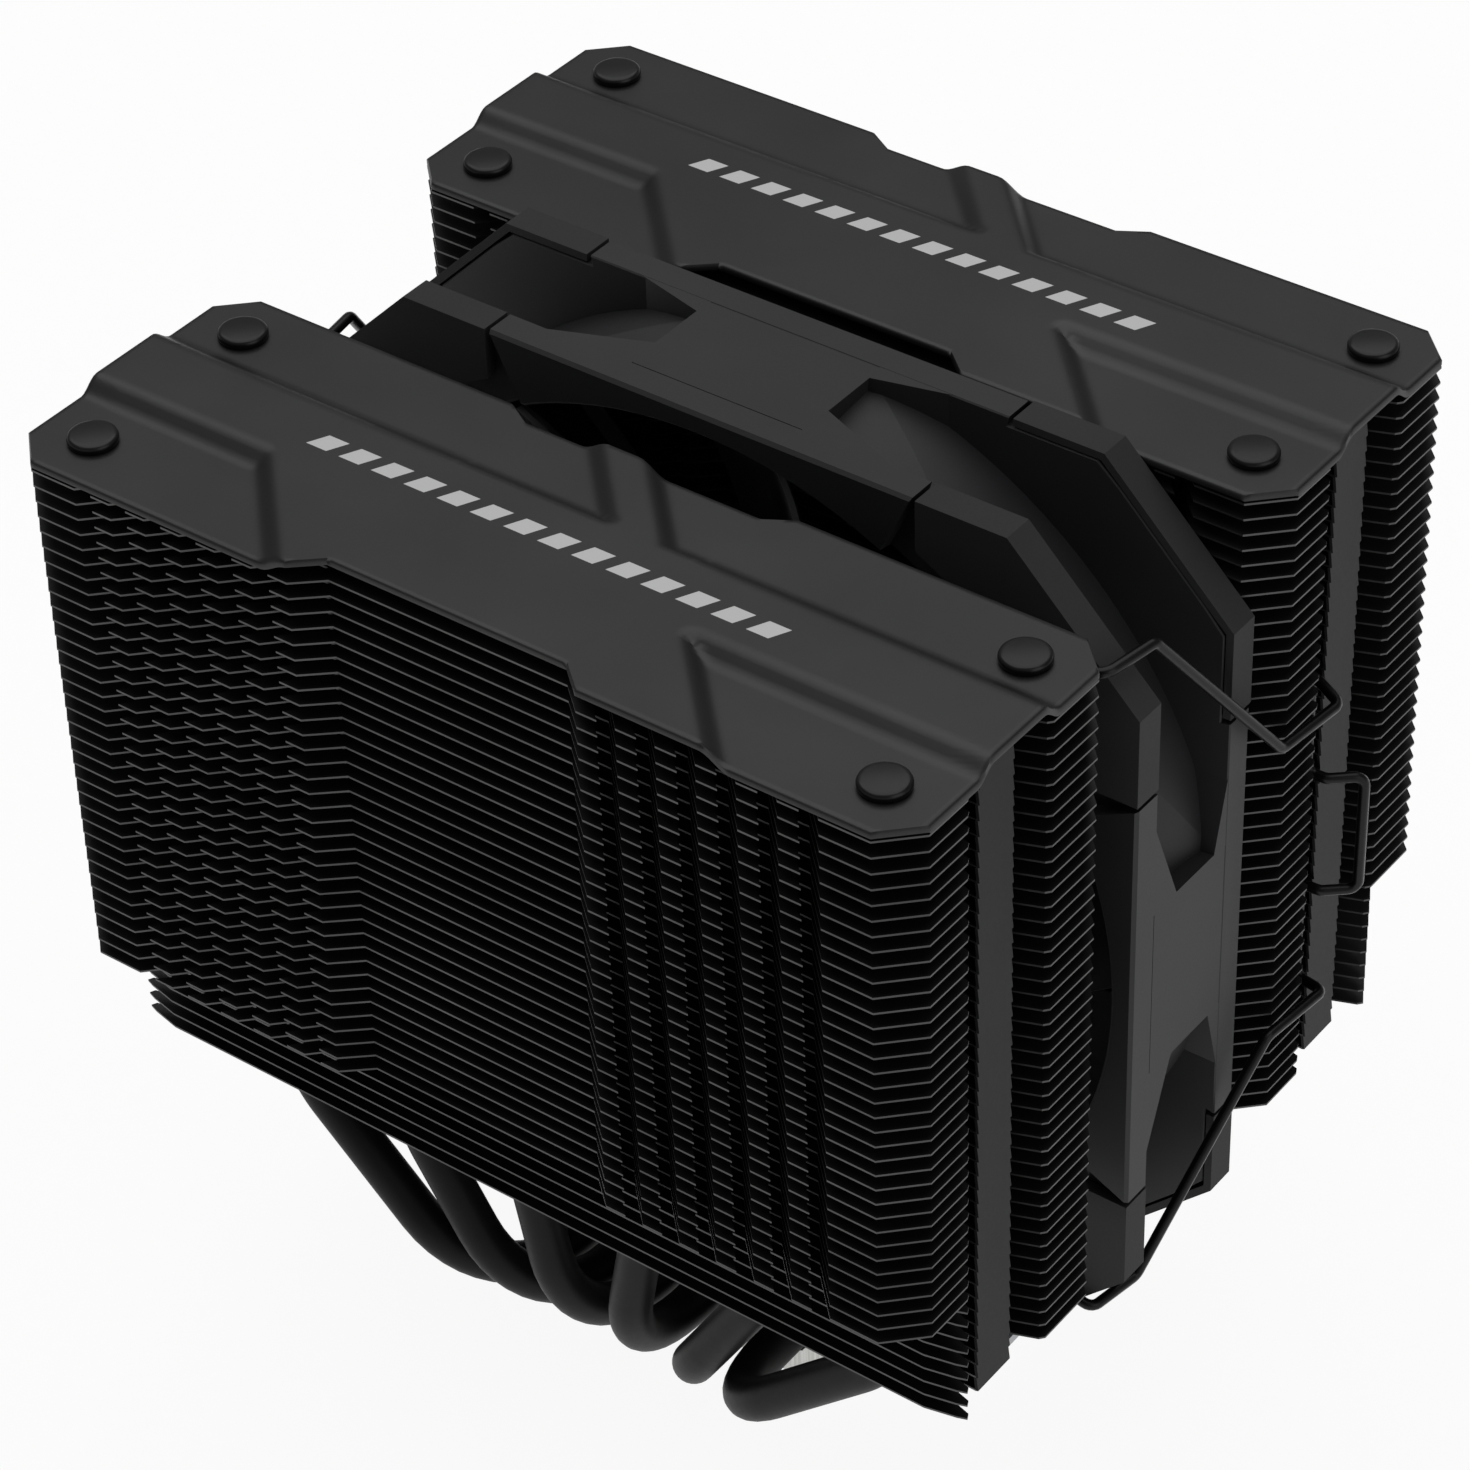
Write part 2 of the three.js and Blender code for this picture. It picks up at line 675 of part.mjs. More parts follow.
// Rubber corner pads wrap a flange's edge and cover its outer face
const padSeats = [];
for (const { side, y0, y1, face } of flanges) {
  for (const [place, signX, signZ] of corners) {
    const zone = (start) => atFan(prismY(padZone(signX, signZ, start), y0 - 1, y1 + 1));
    const sideways = face === y0 ? 1 : -1;
    const skinStart = face + sideways * padFace;
    const coreEnds = face === y0 ? [skinStart, y1 + 2] : [y0 - 2, skinStart];
    const pad = fanSlab(0, y0, y1)
      .intersect(zone(padStart + clearance))
      .subtract(fanSlab(padSkin, ...coreEnds))
      .subtract(join(fanHoles))
      .subtract(turned(
        [[0, y0 - 1], [padBore, y0 - 1], [padBore, y1 + 1], [0, y1 + 1]], 44, fanCentre,
      ));
    add(`${side}_${place}_pad`, pad, rubber);
    const seatEnds = face === y0
      ? [skinStart + clearance, y1 + 2] : [y0 - 2, skinStart - clearance];
    padSeats.push(fanSlab(-1, y0 - 0.01, y1 + 0.01).intersect(zone(padStart))
      .subtract(fanSlab(padSkin + clearance, ...seatEnds)));
  }
}

// The moulded frame is four nodes: two flanges, the duct that joins them with a
// flat panel on each side, and the motor mount
const rim = (radius, y0, y1) => (
  turned([[0, y0], [radius, y0], [radius, y1], [0, y1]], 44, fanCentre)
);
for (const { side, y0, y1 } of flanges) {
  const flange = fanSlab(0, y0, y1)
    .subtract(join([...padSeats, ...fanHoles]))
    .subtract(rim(boreRadius, y0 - 1, y1 + 1));
  add(`fan_${side}_flange`, flange, plastic);
}

const ductFront = fanFront + flangeThickness + clearance;
const ductRear = fanRear - flangeThickness - clearance;
const panels = [0, 90, 180, 270].map((angle) => toSolid(
  new THREE.BoxGeometry(fanHalf - boreRadius, ductRear - ductFront, 2 * panelHalf)
    .translate((fanHalf + boreRadius) / 2, (ductFront + ductRear) / 2, 0)
    .rotateY(THREE.MathUtils.degToRad(angle)).translate(0, 0, fanCentre),
));
add('fan_duct', join([...panels, rim(ductRadius, ductFront, ductRear)])
  .subtract(rim(boreRadius, fanFront, fanRear)), plastic);

const holderRadius = bearingRadius + clearance + holderWall;
const motorPlateFront = fanRear - motorPlate;
const armSpan = [hubRadius - armWidth, boreRadius];
const arms = [45, 135, 225, 315].map((angle) => toSolid(
  new THREE.BoxGeometry(armSpan[1] - armSpan[0], motorPlate, armWidth)
    .translate((armSpan[0] + armSpan[1]) / 2, motorPlateFront + motorPlate / 2, 0)
    .rotateY(THREE.MathUtils.degToRad(angle)).translate(0, 0, fanCentre),
));
const holder = turned([
  [bearingRadius + clearance, hubFront + bearingStart],
  [holderRadius, hubFront + bearingStart],
  [holderRadius, motorPlateFront + 1], [bearingRadius + clearance, motorPlateFront + 1],
], 24, fanCentre);
add('fan_motor_mount', join([...arms, rim(hubRadius, motorPlateFront, fanRear)])
  .intersect(rim(boreRadius - clearance, fanFront, fanRear))
  .add(holder), plastic);

// Rotor: a cup over the motor with blades pitched round it
const cup = turned([
  [0, hubFront], [hubRadius - hubEdge, hubFront], [hubRadius, hubFront + hubEdge],
  [hubRadius, cupRear], [hubRadius - hubWall, cupRear],
  [hubRadius - hubWall, hubFront + hubCap], [shaftRadius + shaftBoss.wall, hubFront + hubCap],
  [shaftRadius + shaftBoss.wall, hubFront + shaftBoss.depth],
  [shaftRadius, hubFront + shaftBoss.depth], [shaftRadius, hubFront + shaftBoss.wall],
  [0, hubFront + shaftBoss.wall],
], 30, fanCentre);

function bladeSection() {
  const stations = [-0.5, -0.17, 0.17, 0.5];
  const middle = (s) => bladeCamber * (1 - (2 * s) ** 2);
  const top = stations.map((s) => [s * bladeChord, middle(s) + bladeThickness / 2]);
  const bottom = stations.map((s) => [s * bladeChord, middle(s) - bladeThickness / 2]);
  return [...bottom, ...top.reverse()];
}

const bladeReach = boreRadius - tipGap;
const bladeBlank = prismZ(bladeSection(), hubRadius - bladeRoot, boreRadius)
  .rotateZ(THREE.MathUtils.degToRad(bladePitch))
  .translate(0, (hubFront + cupRear) / 2, 0);
const blades = Array.from({ length: bladeCount }, (_, i) => {
  const turn = (i / bladeCount) * 2 * Math.PI;
  return atFan(bladeBlank.clone().rotateY(turn));
});
const sweep = rim(bladeReach, hubFront - hubEdge, hubRear - hubEdge)
  .subtract(rim(hubRadius - hubWall / 2, fanFront, fanRear));
add('fan_rotor', join(blades).intersect(sweep).add(cup), blade);

add('fan_shaft', turned([
  [0, hubFront + shaftBoss.wall + clearance],
  [shaftRadius - shaftFit, hubFront + shaftBoss.wall + clearance],
  [shaftRadius - shaftFit, motorPlateFront - shaftEndGap], [0, motorPlateFront - shaftEndGap],
], 16, fanCentre), steel);

add('fan_bearing', turned([
  [shaftRadius + runningGap, hubFront + bearingStart], [bearingRadius, hubFront + bearingStart],
  [bearingRadius, motorPlateFront - bearingEndGap],
  [shaftRadius + runningGap, motorPlateFront - bearingEndGap],
], 16, fanCentre), copper);

const magnetOuter = hubRadius - hubWall - clearance;
const magnetInner = magnetOuter - magnetThickness;
add('fan_magnet_ring', turned([
  [magnetInner, hubFront + magnetStart], [magnetOuter, hubFront + magnetStart],
  [magnetOuter, cupRear - hubEdge], [magnetInner, cupRear - hubEdge],
], 30, fanCentre), ferrite);

// Stator: four poles on a ring that sits on the bearing holder
const statorInner = holderRadius + clearance;
const statorOuter = magnetInner - airGap;
const statorY = statorSpan.map((y) => hubFront + y);
const statorRing = turned([
  [statorInner, statorY[0]], [statorInner + statorWall, statorY[0]],
  [statorInner + statorWall, statorY[1]], [statorInner, statorY[1]],
], 24, fanCentre);
const poleSpan = [statorInner + 1, statorOuter - poleTipGap];
const poles = [0, 1, 2, 3].map((i) => toSolid(
  new THREE.BoxGeometry(poleSpan[1] - poleSpan[0], statorY[1] - statorY[0], poleWidth)
    .translate((poleSpan[0] + poleSpan[1]) / 2, (statorY[0] + statorY[1]) / 2, 0)
    .rotateY((i * Math.PI) / 2).translate(0, 0, fanCentre),
));
add('fan_stator', join([statorRing, ...poles]), copper);

const boardY = statorY[1] + boardGap;
add('fan_circuit_board', turned([
  [statorInner, boardY], [statorOuter, boardY],
  [statorOuter, boardY + boardThickness], [statorInner, boardY + boardThickness],
], 24, fanCentre), board);

// ----------------------------------------------------------------- fan clips

// Each wire starts in an upper corner hole, runs over the chamfered corner
// and back to the rear tower, hooks behind the folded strip, comes out as a
// finger loop, and returns the same way to the lower hole.
const wireFront = fanFront - wireRadius - clipFaceGap;
const legPlace = { x: legX, y: halfPitch + legY };
const crossX = fanHalf - cornerInset.x;
const crossZ = fanSize - fanChamfer - crossX + cornerGap;
const clipAtFan = [
  { x: holePlace, y: fanFront + clipTipReach, z: holePlace },
  { x: holePlace, y: wireFront, z: holePlace },
  { x: crossX, y: wireFront, z: crossZ },
  { x: crossX + cornerLean, y: fanFront + cornerInset.y, z: crossZ },
];
const clipAtTower = [
  { x: armX + armGap.bow, y: halfPitch - halfDepth + armBehindEdge, z: armDrop },
  { x: halfLength + armGap.tower, y: halfPitch + slotMouth + armPastSlot, z: armDrop },
  { ...legPlace, z: hookHalfHeight },
  { ...legPlace, z: loopHalfHeight },
  { x: halfLength, y: legPlace.y + loopStart, z: loopHalfHeight },
  { x: halfLength + loopReach, y: legPlace.y + loopSlope, z: loopHalfHeight },
];
const clipUpper = [
  ...clipAtFan, ...clipAtTower.map((point) => ({ ...point, z: clipLift + point.z })),
];
const clipLower = [
  ...clipAtFan.map((point) => ({ ...point, z: -point.z })),
  ...clipAtTower.map((point) => ({ ...point, z: clipLift - point.z })),
].reverse();
for (const [side, sign] of [['left', -1], ['right', 1]]) {
  const route = [...clipUpper, ...clipLower].map(({ x, y, z }) => [sign * x, y, fanCentre + z]);
  add(`${side}_fan_clip`, bentRod(route, [wireBend], wireRadius, 5, 2), wire);
}

export default cooler;
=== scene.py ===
"""Looks of the twin-tower CPU cooler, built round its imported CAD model.

Everything is in metres in the model's own frame: the origin is the middle of
the cold plate's contact face, Z is up, X runs along the towers and Y from the
front tower to the rear one.
"""

import math

import bmesh
import bpy
from mathutils import Matrix, Vector


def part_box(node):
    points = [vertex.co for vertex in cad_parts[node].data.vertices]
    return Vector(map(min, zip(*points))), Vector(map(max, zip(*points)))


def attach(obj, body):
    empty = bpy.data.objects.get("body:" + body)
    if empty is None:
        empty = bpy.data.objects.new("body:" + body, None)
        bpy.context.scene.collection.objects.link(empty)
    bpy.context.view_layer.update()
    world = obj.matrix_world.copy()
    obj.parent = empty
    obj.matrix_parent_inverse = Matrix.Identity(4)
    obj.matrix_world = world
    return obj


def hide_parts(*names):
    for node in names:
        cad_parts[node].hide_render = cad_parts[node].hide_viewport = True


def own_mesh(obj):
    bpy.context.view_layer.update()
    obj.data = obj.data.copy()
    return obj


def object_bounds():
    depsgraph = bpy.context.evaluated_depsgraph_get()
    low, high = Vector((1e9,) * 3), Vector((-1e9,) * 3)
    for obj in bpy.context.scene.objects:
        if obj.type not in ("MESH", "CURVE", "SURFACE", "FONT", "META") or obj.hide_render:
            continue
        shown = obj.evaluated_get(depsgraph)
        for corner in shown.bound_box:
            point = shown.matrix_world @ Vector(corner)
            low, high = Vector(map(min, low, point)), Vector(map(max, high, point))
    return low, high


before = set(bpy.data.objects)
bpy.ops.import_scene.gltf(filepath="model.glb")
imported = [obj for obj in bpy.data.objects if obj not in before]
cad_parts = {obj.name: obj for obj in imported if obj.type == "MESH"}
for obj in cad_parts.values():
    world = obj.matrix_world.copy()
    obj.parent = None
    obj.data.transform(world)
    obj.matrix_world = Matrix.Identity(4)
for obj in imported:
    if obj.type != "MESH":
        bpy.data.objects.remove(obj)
cad_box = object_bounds()
MM = 0.001

# ---------------------------------------------------------------- dimensions

# Towers, from the frame and from what the CAD fins follow
STACK_LOW, STACK_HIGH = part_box("front_fin_stack")
REAR_LOW, REAR_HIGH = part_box("rear_fin_stack")
TOWER_Y = {
    "front": (STACK_LOW.y + STACK_HIGH.y) / 2,
    "rear": (REAR_LOW.y + REAR_HIGH.y) / 2,
}
HALF_LENGTH = STACK_HIGH.x
HALF_DEPTH = (STACK_HIGH.y - STACK_LOW.y) / 2
FIN_TOP = STACK_HIGH.z
FIN_PITCH = 2.45 * MM
FIN_THICKNESS = 0.3 * MM
FIN_CHAMFER = 5 * MM
FULL_FINS = 35
CUT_FINS = 9
CUT_BACK = 11.7 * MM  # edge of the lower fins on the tower's outer side
CUT_CORNER = ((HALF_LENGTH - 6 * MM, CUT_BACK), (HALF_LENGTH - 1.4 * MM, CUT_BACK - 1 * MM))
OUTER_RECESS = (23.3 * MM, 3.5 * MM, 4 * MM)  # half width, depth and run of its flanks
INNER_RECESS = (23.5 * MM, 2.5 * MM, 4.2 * MM)
TOOTH_COUNT = 6
TOOTH_FLAT = 3.2 * MM
TOOTH_GAP = 2.9 * MM
TOOTH_DEPTH = 5.5 * MM
SLOT_MOUTH, SLOT_FLOOR, SLOT_DEPTH = -9.4 * MM, -8.2 * MM, 4.9 * MM
STRIP_START, STRIP_END, STRIP_SETBACK = -5.2 * MM, 2.6 * MM, 2.1 * MM
NOTCH_END, NOTCH_DEPTH = 7.6 * MM, 4.8 * MM
PIPE_X = (52.5 * MM, 30.7 * MM, 10 * MM)
PIPE_RADIUS = 3.2 * MM

# Fan, from the frame
FAN_LOW, FAN_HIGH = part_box("fan_front_flange")[0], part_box("fan_rear_flange")[1]
FAN_CENTRE = (FAN_LOW.z + FAN_HIGH.z) / 2
FAN_HALF = (FAN_HIGH.x - FAN_LOW.x) / 2
FAN_FRONT, FAN_REAR = FAN_LOW.y, FAN_HIGH.y
FLANGE = 5 * MM
FAN_CHAMFER = 20.5 * MM
BORE = 66.5 * MM
BARREL = 69.5 * MM
PAD_START = 35 * MM
PAD_SKIN = 1.5 * MM

# -------------------------------------------------------------------- colour


def linear(code):
    """An sRGB hex colour as the linear colour that Blender works in."""
    channels = [int(code[i:i + 2], 16) / 255 for i in (1, 3, 5)]
    curve = [c / 12.92 if c <= 0.04045 else ((c + 0.055) / 1.055) ** 2.4 for c in channels]
    return (*curve, 1.0)


def add_node(tree, kind, links=None, **settings):
    """A node with its settings; links maps an input to a value or to another node's output."""
    node = tree.nodes.new(kind)
    for name, value in settings.items():
        setattr(node, name, value)
    for name, value in (links or {}).items():
        socket = node.inputs[name]
        if isinstance(value, bpy.types.NodeSocket):
            tree.links.new(value, socket)
        else:
            socket.default_value = value
    return node


def new_material(name, metallic, roughness, specular=0.5):
    """A material with its tree and its shader."""
    material = bpy.data.materials.new(name)
    material.use_nodes = True
    tree = material.node_tree
    shader = tree.nodes["Principled BSDF"]
    shader.inputs["Metallic"].default_value = metallic
    shader.inputs["Roughness"].default_value = roughness
    shader.inputs["Specular IOR Level"].default_value = specular
    return material, tree, shader


def pattern(tree, size, detail, stretch=(1, 1, 1)):
    """Noise on Object coordinates, with blotches about size metres across."""
    place = add_node(tree, "ShaderNodeTexCoord").outputs["Object"]
    stretched = add_node(tree, "ShaderNodeMapping", {"Vector": place, "Scale": stretch})
    return add_node(tree, "ShaderNodeTexNoise", {
        "Vector": stretched.outputs["Vector"], "Scale": 1 / size, "Detail": detail,
    }).outputs["Fac"]


BLEND = (0.3, 0.7)  # where on a pattern the dark shade ends and the light one begins


def shaded(tree, shader, blotches, dark, light):
    """Blends the base colour from dark to light along a pattern."""
    blend = add_node(tree, "ShaderNodeValToRGB", {"Fac": blotches})
    for stop, place, code in zip(blend.color_ramp.elements, BLEND, (dark, light)):
        stop.position = place
        stop.color = linear(code)
    tree.links.new(blend.outputs["Color"], shader.inputs["Base Color"])


def grained(tree, shader, grain, glossiest, dullest, relief):
    """Varies the roughness and raises a relief, in metres, along a pattern."""
    gloss = add_node(tree, "ShaderNodeMapRange", {
        "Value": grain, "To Min": glossiest, "To Max": dullest,
    })
    tree.links.new(gloss.outputs["Result"], shader.inputs["Roughness"])
    raised = add_node(tree, "ShaderNodeBump", {
        "Height": grain, "Distance": relief, "Strength": 1.0,
    })
    tree.links.new(raised.outputs["Normal"], shader.inputs["Normal"])


CLOUD_SIZE = 22 * MM
GLOSS_STRAY = 0.05


def satin(name, dark, light, metallic, roughness, grain, relief, specular=0.5):
    """A finish with cloudy colour, fine grain and slightly uneven gloss."""
    material, tree, shader = new_material(name, metallic, roughness, specular)
    shaded(tree, shader, pattern(tree, CLOUD_SIZE, detail=4), dark, light)
    fine = pattern(tree, grain, detail=2)
    grained(tree, shader, fine, roughness - GLOSS_STRAY, roughness + GLOSS_STRAY, relief)
    return material


# ----------------------------------------------------------------- materials

PRINT_START = -37.5 * MM  # left end of the first dash
PRINT_HALF_LENGTH = 38.5 * MM
PRINT_HALF_HEIGHT = 1.5 * MM
PRINT_PITCH = 5.5 * MM
PRINT_DASH = 0.62  # share of the pitch
PRINT_SLANT = 0.5
PRINT_INK = "#bdbdbd"
COVER_METALLIC = 0.9


def printed_dashes(tree):
    """1 on a row of slanted dashes along the middle of each cover's ridge, else 0.

    The second result is the metallic value, which drops to 0 under the ink.
    """
    place = add_node(tree, "ShaderNodeTexCoord").outputs["Object"]
    axes = add_node(tree, "ShaderNodeSeparateXYZ", {"Vector": place}).outputs
    known = {"X": axes["X"], "Y": axes["Y"]}
    for name, operation, *values in (
        ("tower", "SIGN", "Y"),
        ("ridge middle", "MULTIPLY", "tower", TOWER_Y["rear"]),
        ("across", "SUBTRACT", "Y", "ridge middle"),
        ("slant", "MULTIPLY", "across", PRINT_SLANT),
        ("along", "SUBTRACT", "X", "slant"),
        ("from the start", "SUBTRACT", "along", PRINT_START),
        ("turns", "DIVIDE", "from the start", PRINT_PITCH),
        ("part of a turn", "FRACT", "turns"),
        ("dash", "LESS_THAN", "part of a turn", PRINT_DASH),
        ("reach along", "ABSOLUTE", "along"),
        ("within length", "LESS_THAN", "reach along", PRINT_HALF_LENGTH),
        ("reach across", "ABSOLUTE", "across"),
        ("within height", "LESS_THAN", "reach across", PRINT_HALF_HEIGHT),
        ("row", "MULTIPLY", "within length", "within height"),
        ("ink", "MULTIPLY", "dash", "row"),
        ("bare", "SUBTRACT", 1.0, "ink"),
        ("metallic", "MULTIPLY", "bare", COVER_METALLIC),
    ):
        inputs = {i: known.get(value, value) for i, value in enumerate(values)}
        known[name] = add_node(tree, "ShaderNodeMath", inputs, operation=operation).outputs[0]
    return known["ink"], known["metallic"]


def printed_cover():
    """Anodised aluminium sheet, blasted first: a soft sheen, with a pale print on the ridge."""
    material = satin(
        "Anodised aluminium, blasted", "#363636", "#3b3b3b", COVER_METALLIC, 0.42,
        0.35 * MM, 0.006 * MM,
    )
    tree = material.node_tree
    shader = tree.nodes["Principled BSDF"]
    ink, metallic = printed_dashes(tree)
    bare = shader.inputs["Base Color"].links[0].from_socket
    inked = add_node(
        tree, "ShaderNodeMix", {0: ink, 6: bare, 7: linear(PRINT_INK)}, data_type="RGBA",
    )
    tree.links.new(inked.outputs[2], shader.inputs["Base Color"])
    tree.links.new(metallic, shader.inputs["Metallic"])
    return material


# Blasted and anodised aluminium sheet: even and dull, with pale ink on the ridge
anodised_cover = printed_cover()
# Black coated aluminium fin stock: nearly black on its faces
fin_face = satin(
    "Coated aluminium fin stock", "#1b1b1b", "#232323", 0.6, 0.5, 0.5 * MM, 0.004 * MM,
)
# The sheared edge of the same stock, where the thin coat lets the metal shine through; its lighter
# colour is also a painted highlight where the fins' edges catch the light
fin_edge_and_highlight = satin(
    "Coated fin stock, sheared edge and painted highlight", "#444444", "#545454", 0.9, 0.4, 0.4 * MM, 0.002 * MM,
)
# Interlocked fin tabs, burnished where the tooling folded them down
fin_tab = satin(
    "Coated fin stock, folded tab", "#121213", "#171718", 0.85, 0.42, 0.6 * MM, 0.004 * MM,
)
# Copper under matt black lacquer: a broad, faint highlight down each pipe
lacquered_copper = satin(
    "Matt black lacquer on copper", "#0c0c0c", "#121212", 0.0, 0.5, 0.8 * MM, 0.006 * MM,
    specular=0.16,
)
# Black oxide steel with an oil finish: a thin glint round the rim of each cap
black_oxide = satin(
    "Black oxide steel, oiled", "#262626", "#2c2c2c", 0.85, 0.3, 0.3 * MM, 0.001 * MM,
)
# Drawn spring wire, phosphated black
spring_wire = satin(
    "Black phosphated spring wire", "#1b1b1b", "#262626", 0.85, 0.32, 0.25 * MM, 0.003 * MM,
)
# Glass-filled PBT, moulded in a spark-eroded tool: an even, slightly blue grey
moulded_pbt = satin(
    "Glass-filled PBT, fine mould texture", "#1d1d1f", "#222224", 0.0, 0.54, 0.3 * MM,
    0.010 * MM, specular=0.34,
)
# The same plastic in a darker grey for the rotor
rotor_pbt = satin(
    "Glass-filled PBT, dark", "#1d1d1f", "#232325", 0.0, 0.45, 0.3 * MM, 0.006 * MM,
)
# Silicone rubber: matt and soft
silicone_pad = satin(
    "Silicone rubber, moulded", "#171717", "#1d1d1d", 0.0, 0.78, 0.5 * MM, 0.02 * MM,
)
# Zinc-plated steel: bright grey, slightly mottled
zinc_steel = satin(
    "Zinc-plated steel", "#8d8f92", "#a3a5a8", 1.0, 0.34, 1.2 * MM, 0.003 * MM,
)
# Sintered bronze with oil in its pores
sintered_bronze = satin(
    "Sintered bronze, oiled", "#7a4d2c", "#9a6a40", 1.0, 0.45, 0.2 * MM, 0.010 * MM,
)
# Moulded ferrite: dull brownish grey
ferrite = satin(
    "Moulded ferrite", "#2f2d2b", "#3d3a37", 0.2, 0.7, 0.4 * MM, 0.010 * MM,
)
# Enamelled copper winding, in rows
winding = satin(
    "Enamelled copper winding", "#7d3f1f", "#a85a2c", 0.7, 0.35, 0.3 * MM, 0.004 * MM,
)
# Glass-epoxy board under green solder mask
solder_mask = satin(
    "Glass-epoxy board, green mask", "#123f24", "#1a5230", 0.0, 0.35, 0.7 * MM, 0.003 * MM,
)


CUTTER_LINES = (1, 0.02, 0.02)  # stretched fifty times along the cut


def machined_nickel():
    """Nickel plate over milled copper: straight cutter lines that catch the light."""
    material, tree, shader = new_material("Nickel-plated copper, milled", 1.0, 0.22)
    lines = pattern(tree, 0.45 * MM, detail=2, stretch=CUTTER_LINES)
    shaded(tree, shader, lines, "#a9a9a6", "#c6c6c3")
    grained(tree, shader, lines, 0.16, 0.32, 0.004 * MM)
    return material


# Nickel plate over milled copper: bright, with faint straight lines
nickel_plate = machined_nickel()

# ------------------------------------------------------------- mesh building


def mesh_object(name, mesh, material):
    """An object for a mesh, at the origin."""
    piece = bpy.data.objects.new(name, mesh)
    bpy.context.scene.collection.objects.link(piece)
    if material:
        mesh.materials.append(material)
    return piece


def from_points(name, points, faces, material):
    """A mesh from points and faces, with its normals made consistent."""
    mesh = bpy.data.meshes.new(name)
    mesh.from_pydata([tuple(p) for p in points], [], faces)
    grid = bmesh.new()
    grid.from_mesh(mesh)
    bmesh.ops.recalc_face_normals(grid, faces=grid.faces)
    grid.to_mesh(mesh)
    grid.free()
    return mesh_object(name, mesh, material)


def made_plain(piece):
    """Turns a piece and its modifiers into a plain mesh."""
    graph = bpy.context.evaluated_depsgraph_get()
    mesh = bpy.data.meshes.new_from_object(piece.evaluated_get(graph))
    piece.modifiers.clear()
    piece.data = mesh
    return mesh


def settle(piece, smooth_angle=35):
    """Makes a piece plain, and smooth up to the given angle."""
    mesh = made_plain(piece)
    mesh.shade_smooth()
    mesh.set_sharp_from_angle(angle=math.radians(smooth_angle))
    return piece


def bevelled(piece, width, segments, angle):
    """Rounds the edges of a piece and keeps its flat faces flat."""
    rounding = piece.modifiers.new("Rounded edges", "BEVEL")
    rounding.width = width
    rounding.segments = segments
    rounding.limit_method = "ANGLE"
    rounding.angle_limit = math.radians(angle)
    piece.data.shade_smooth()
    even = piece.modifiers.new("Flat faces stay flat", "WEIGHTED_NORMAL")
    even.weight = 100
    made_plain(piece)


JOIN_ANGLE = math.radians(1)


def copies_of(name, nodes, material):
    """One mesh with copies of CAD nodes, whose loose triangles are merged into flat faces."""
    grid = bmesh.new()
    for node in nodes:
        grid.from_mesh(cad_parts[node].data)
    bmesh.ops.remove_doubles(grid, verts=grid.verts, dist=0.001 * MM)
    bmesh.ops.dissolve_limit(
        grid, angle_limit=JOIN_ANGLE, verts=grid.verts, edges=grid.edges,
    )
    mesh = bpy.data.meshes.new(name)
    grid.to_mesh(mesh)
    grid.free()
    return mesh_object(name, mesh, material)


def hand_over(piece, body, slot, *nodes):
    """Puts a finished piece on its CAD body, in place of the nodes it stands for."""
    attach(piece, body)
    if nodes:
        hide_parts(*nodes)


def turned(name, profile, segments, material):
    """A body of revolution about Z from (radius, z) points that start and end on the axis."""
    points = [Vector((0, 0, profile[0][1]))]
    inner = profile[1:-1]
    for radius, z in inner:
        for i in range(segments):
            angle = i / segments * math.tau
            points.append(Vector((radius * math.cos(angle), radius * math.sin(angle), z)))
    points.append(Vector((0, 0, profile[-1][1])))
    faces = []
    last = len(points) - 1
    for i in range(segments):
        j = (i + 1) % segments
        faces.append((0, 1 + i, 1 + j))
        for ring in range(len(inner) - 1):
            a = 1 + ring * segments
            b = a + segments
            faces.append((a + i, a + j, b + j, b + i))
        end = 1 + (len(inner) - 1) * segments
        faces.append((last, end + j, end + i))
    return from_points(name, points, faces, material)


# ------------------------------------------------------------ geometry nodes


def geometry_tree(name, inputs):
    """An empty geometry tree that takes a geometry and the named inputs."""
    tree = bpy.data.node_groups.new(name, "GeometryNodeTree")
    face = tree.interface
    face.new_socket("Geometry", in_out="INPUT", socket_type="NodeSocketGeometry")
    for label, kind in inputs:
        face.new_socket(label, in_out="INPUT", socket_type=kind)
    face.new_socket("Geometry", in_out="OUTPUT", socket_type="NodeSocketGeometry")
    return tree, add_node(tree, "NodeGroupInput").outputs


def with_tree(piece, tree, values):
    """Adds the tree to a piece as a modifier, with its inputs set by their identifiers."""
    modifier = piece.modifiers.new(tree.name, "NODES")
    modifier.node_group = tree
    for item in tree.interface.items_tree:
        if item.in_out == "INPUT" and item.name in values:
            modifier[item.identifier] = values[item.name]


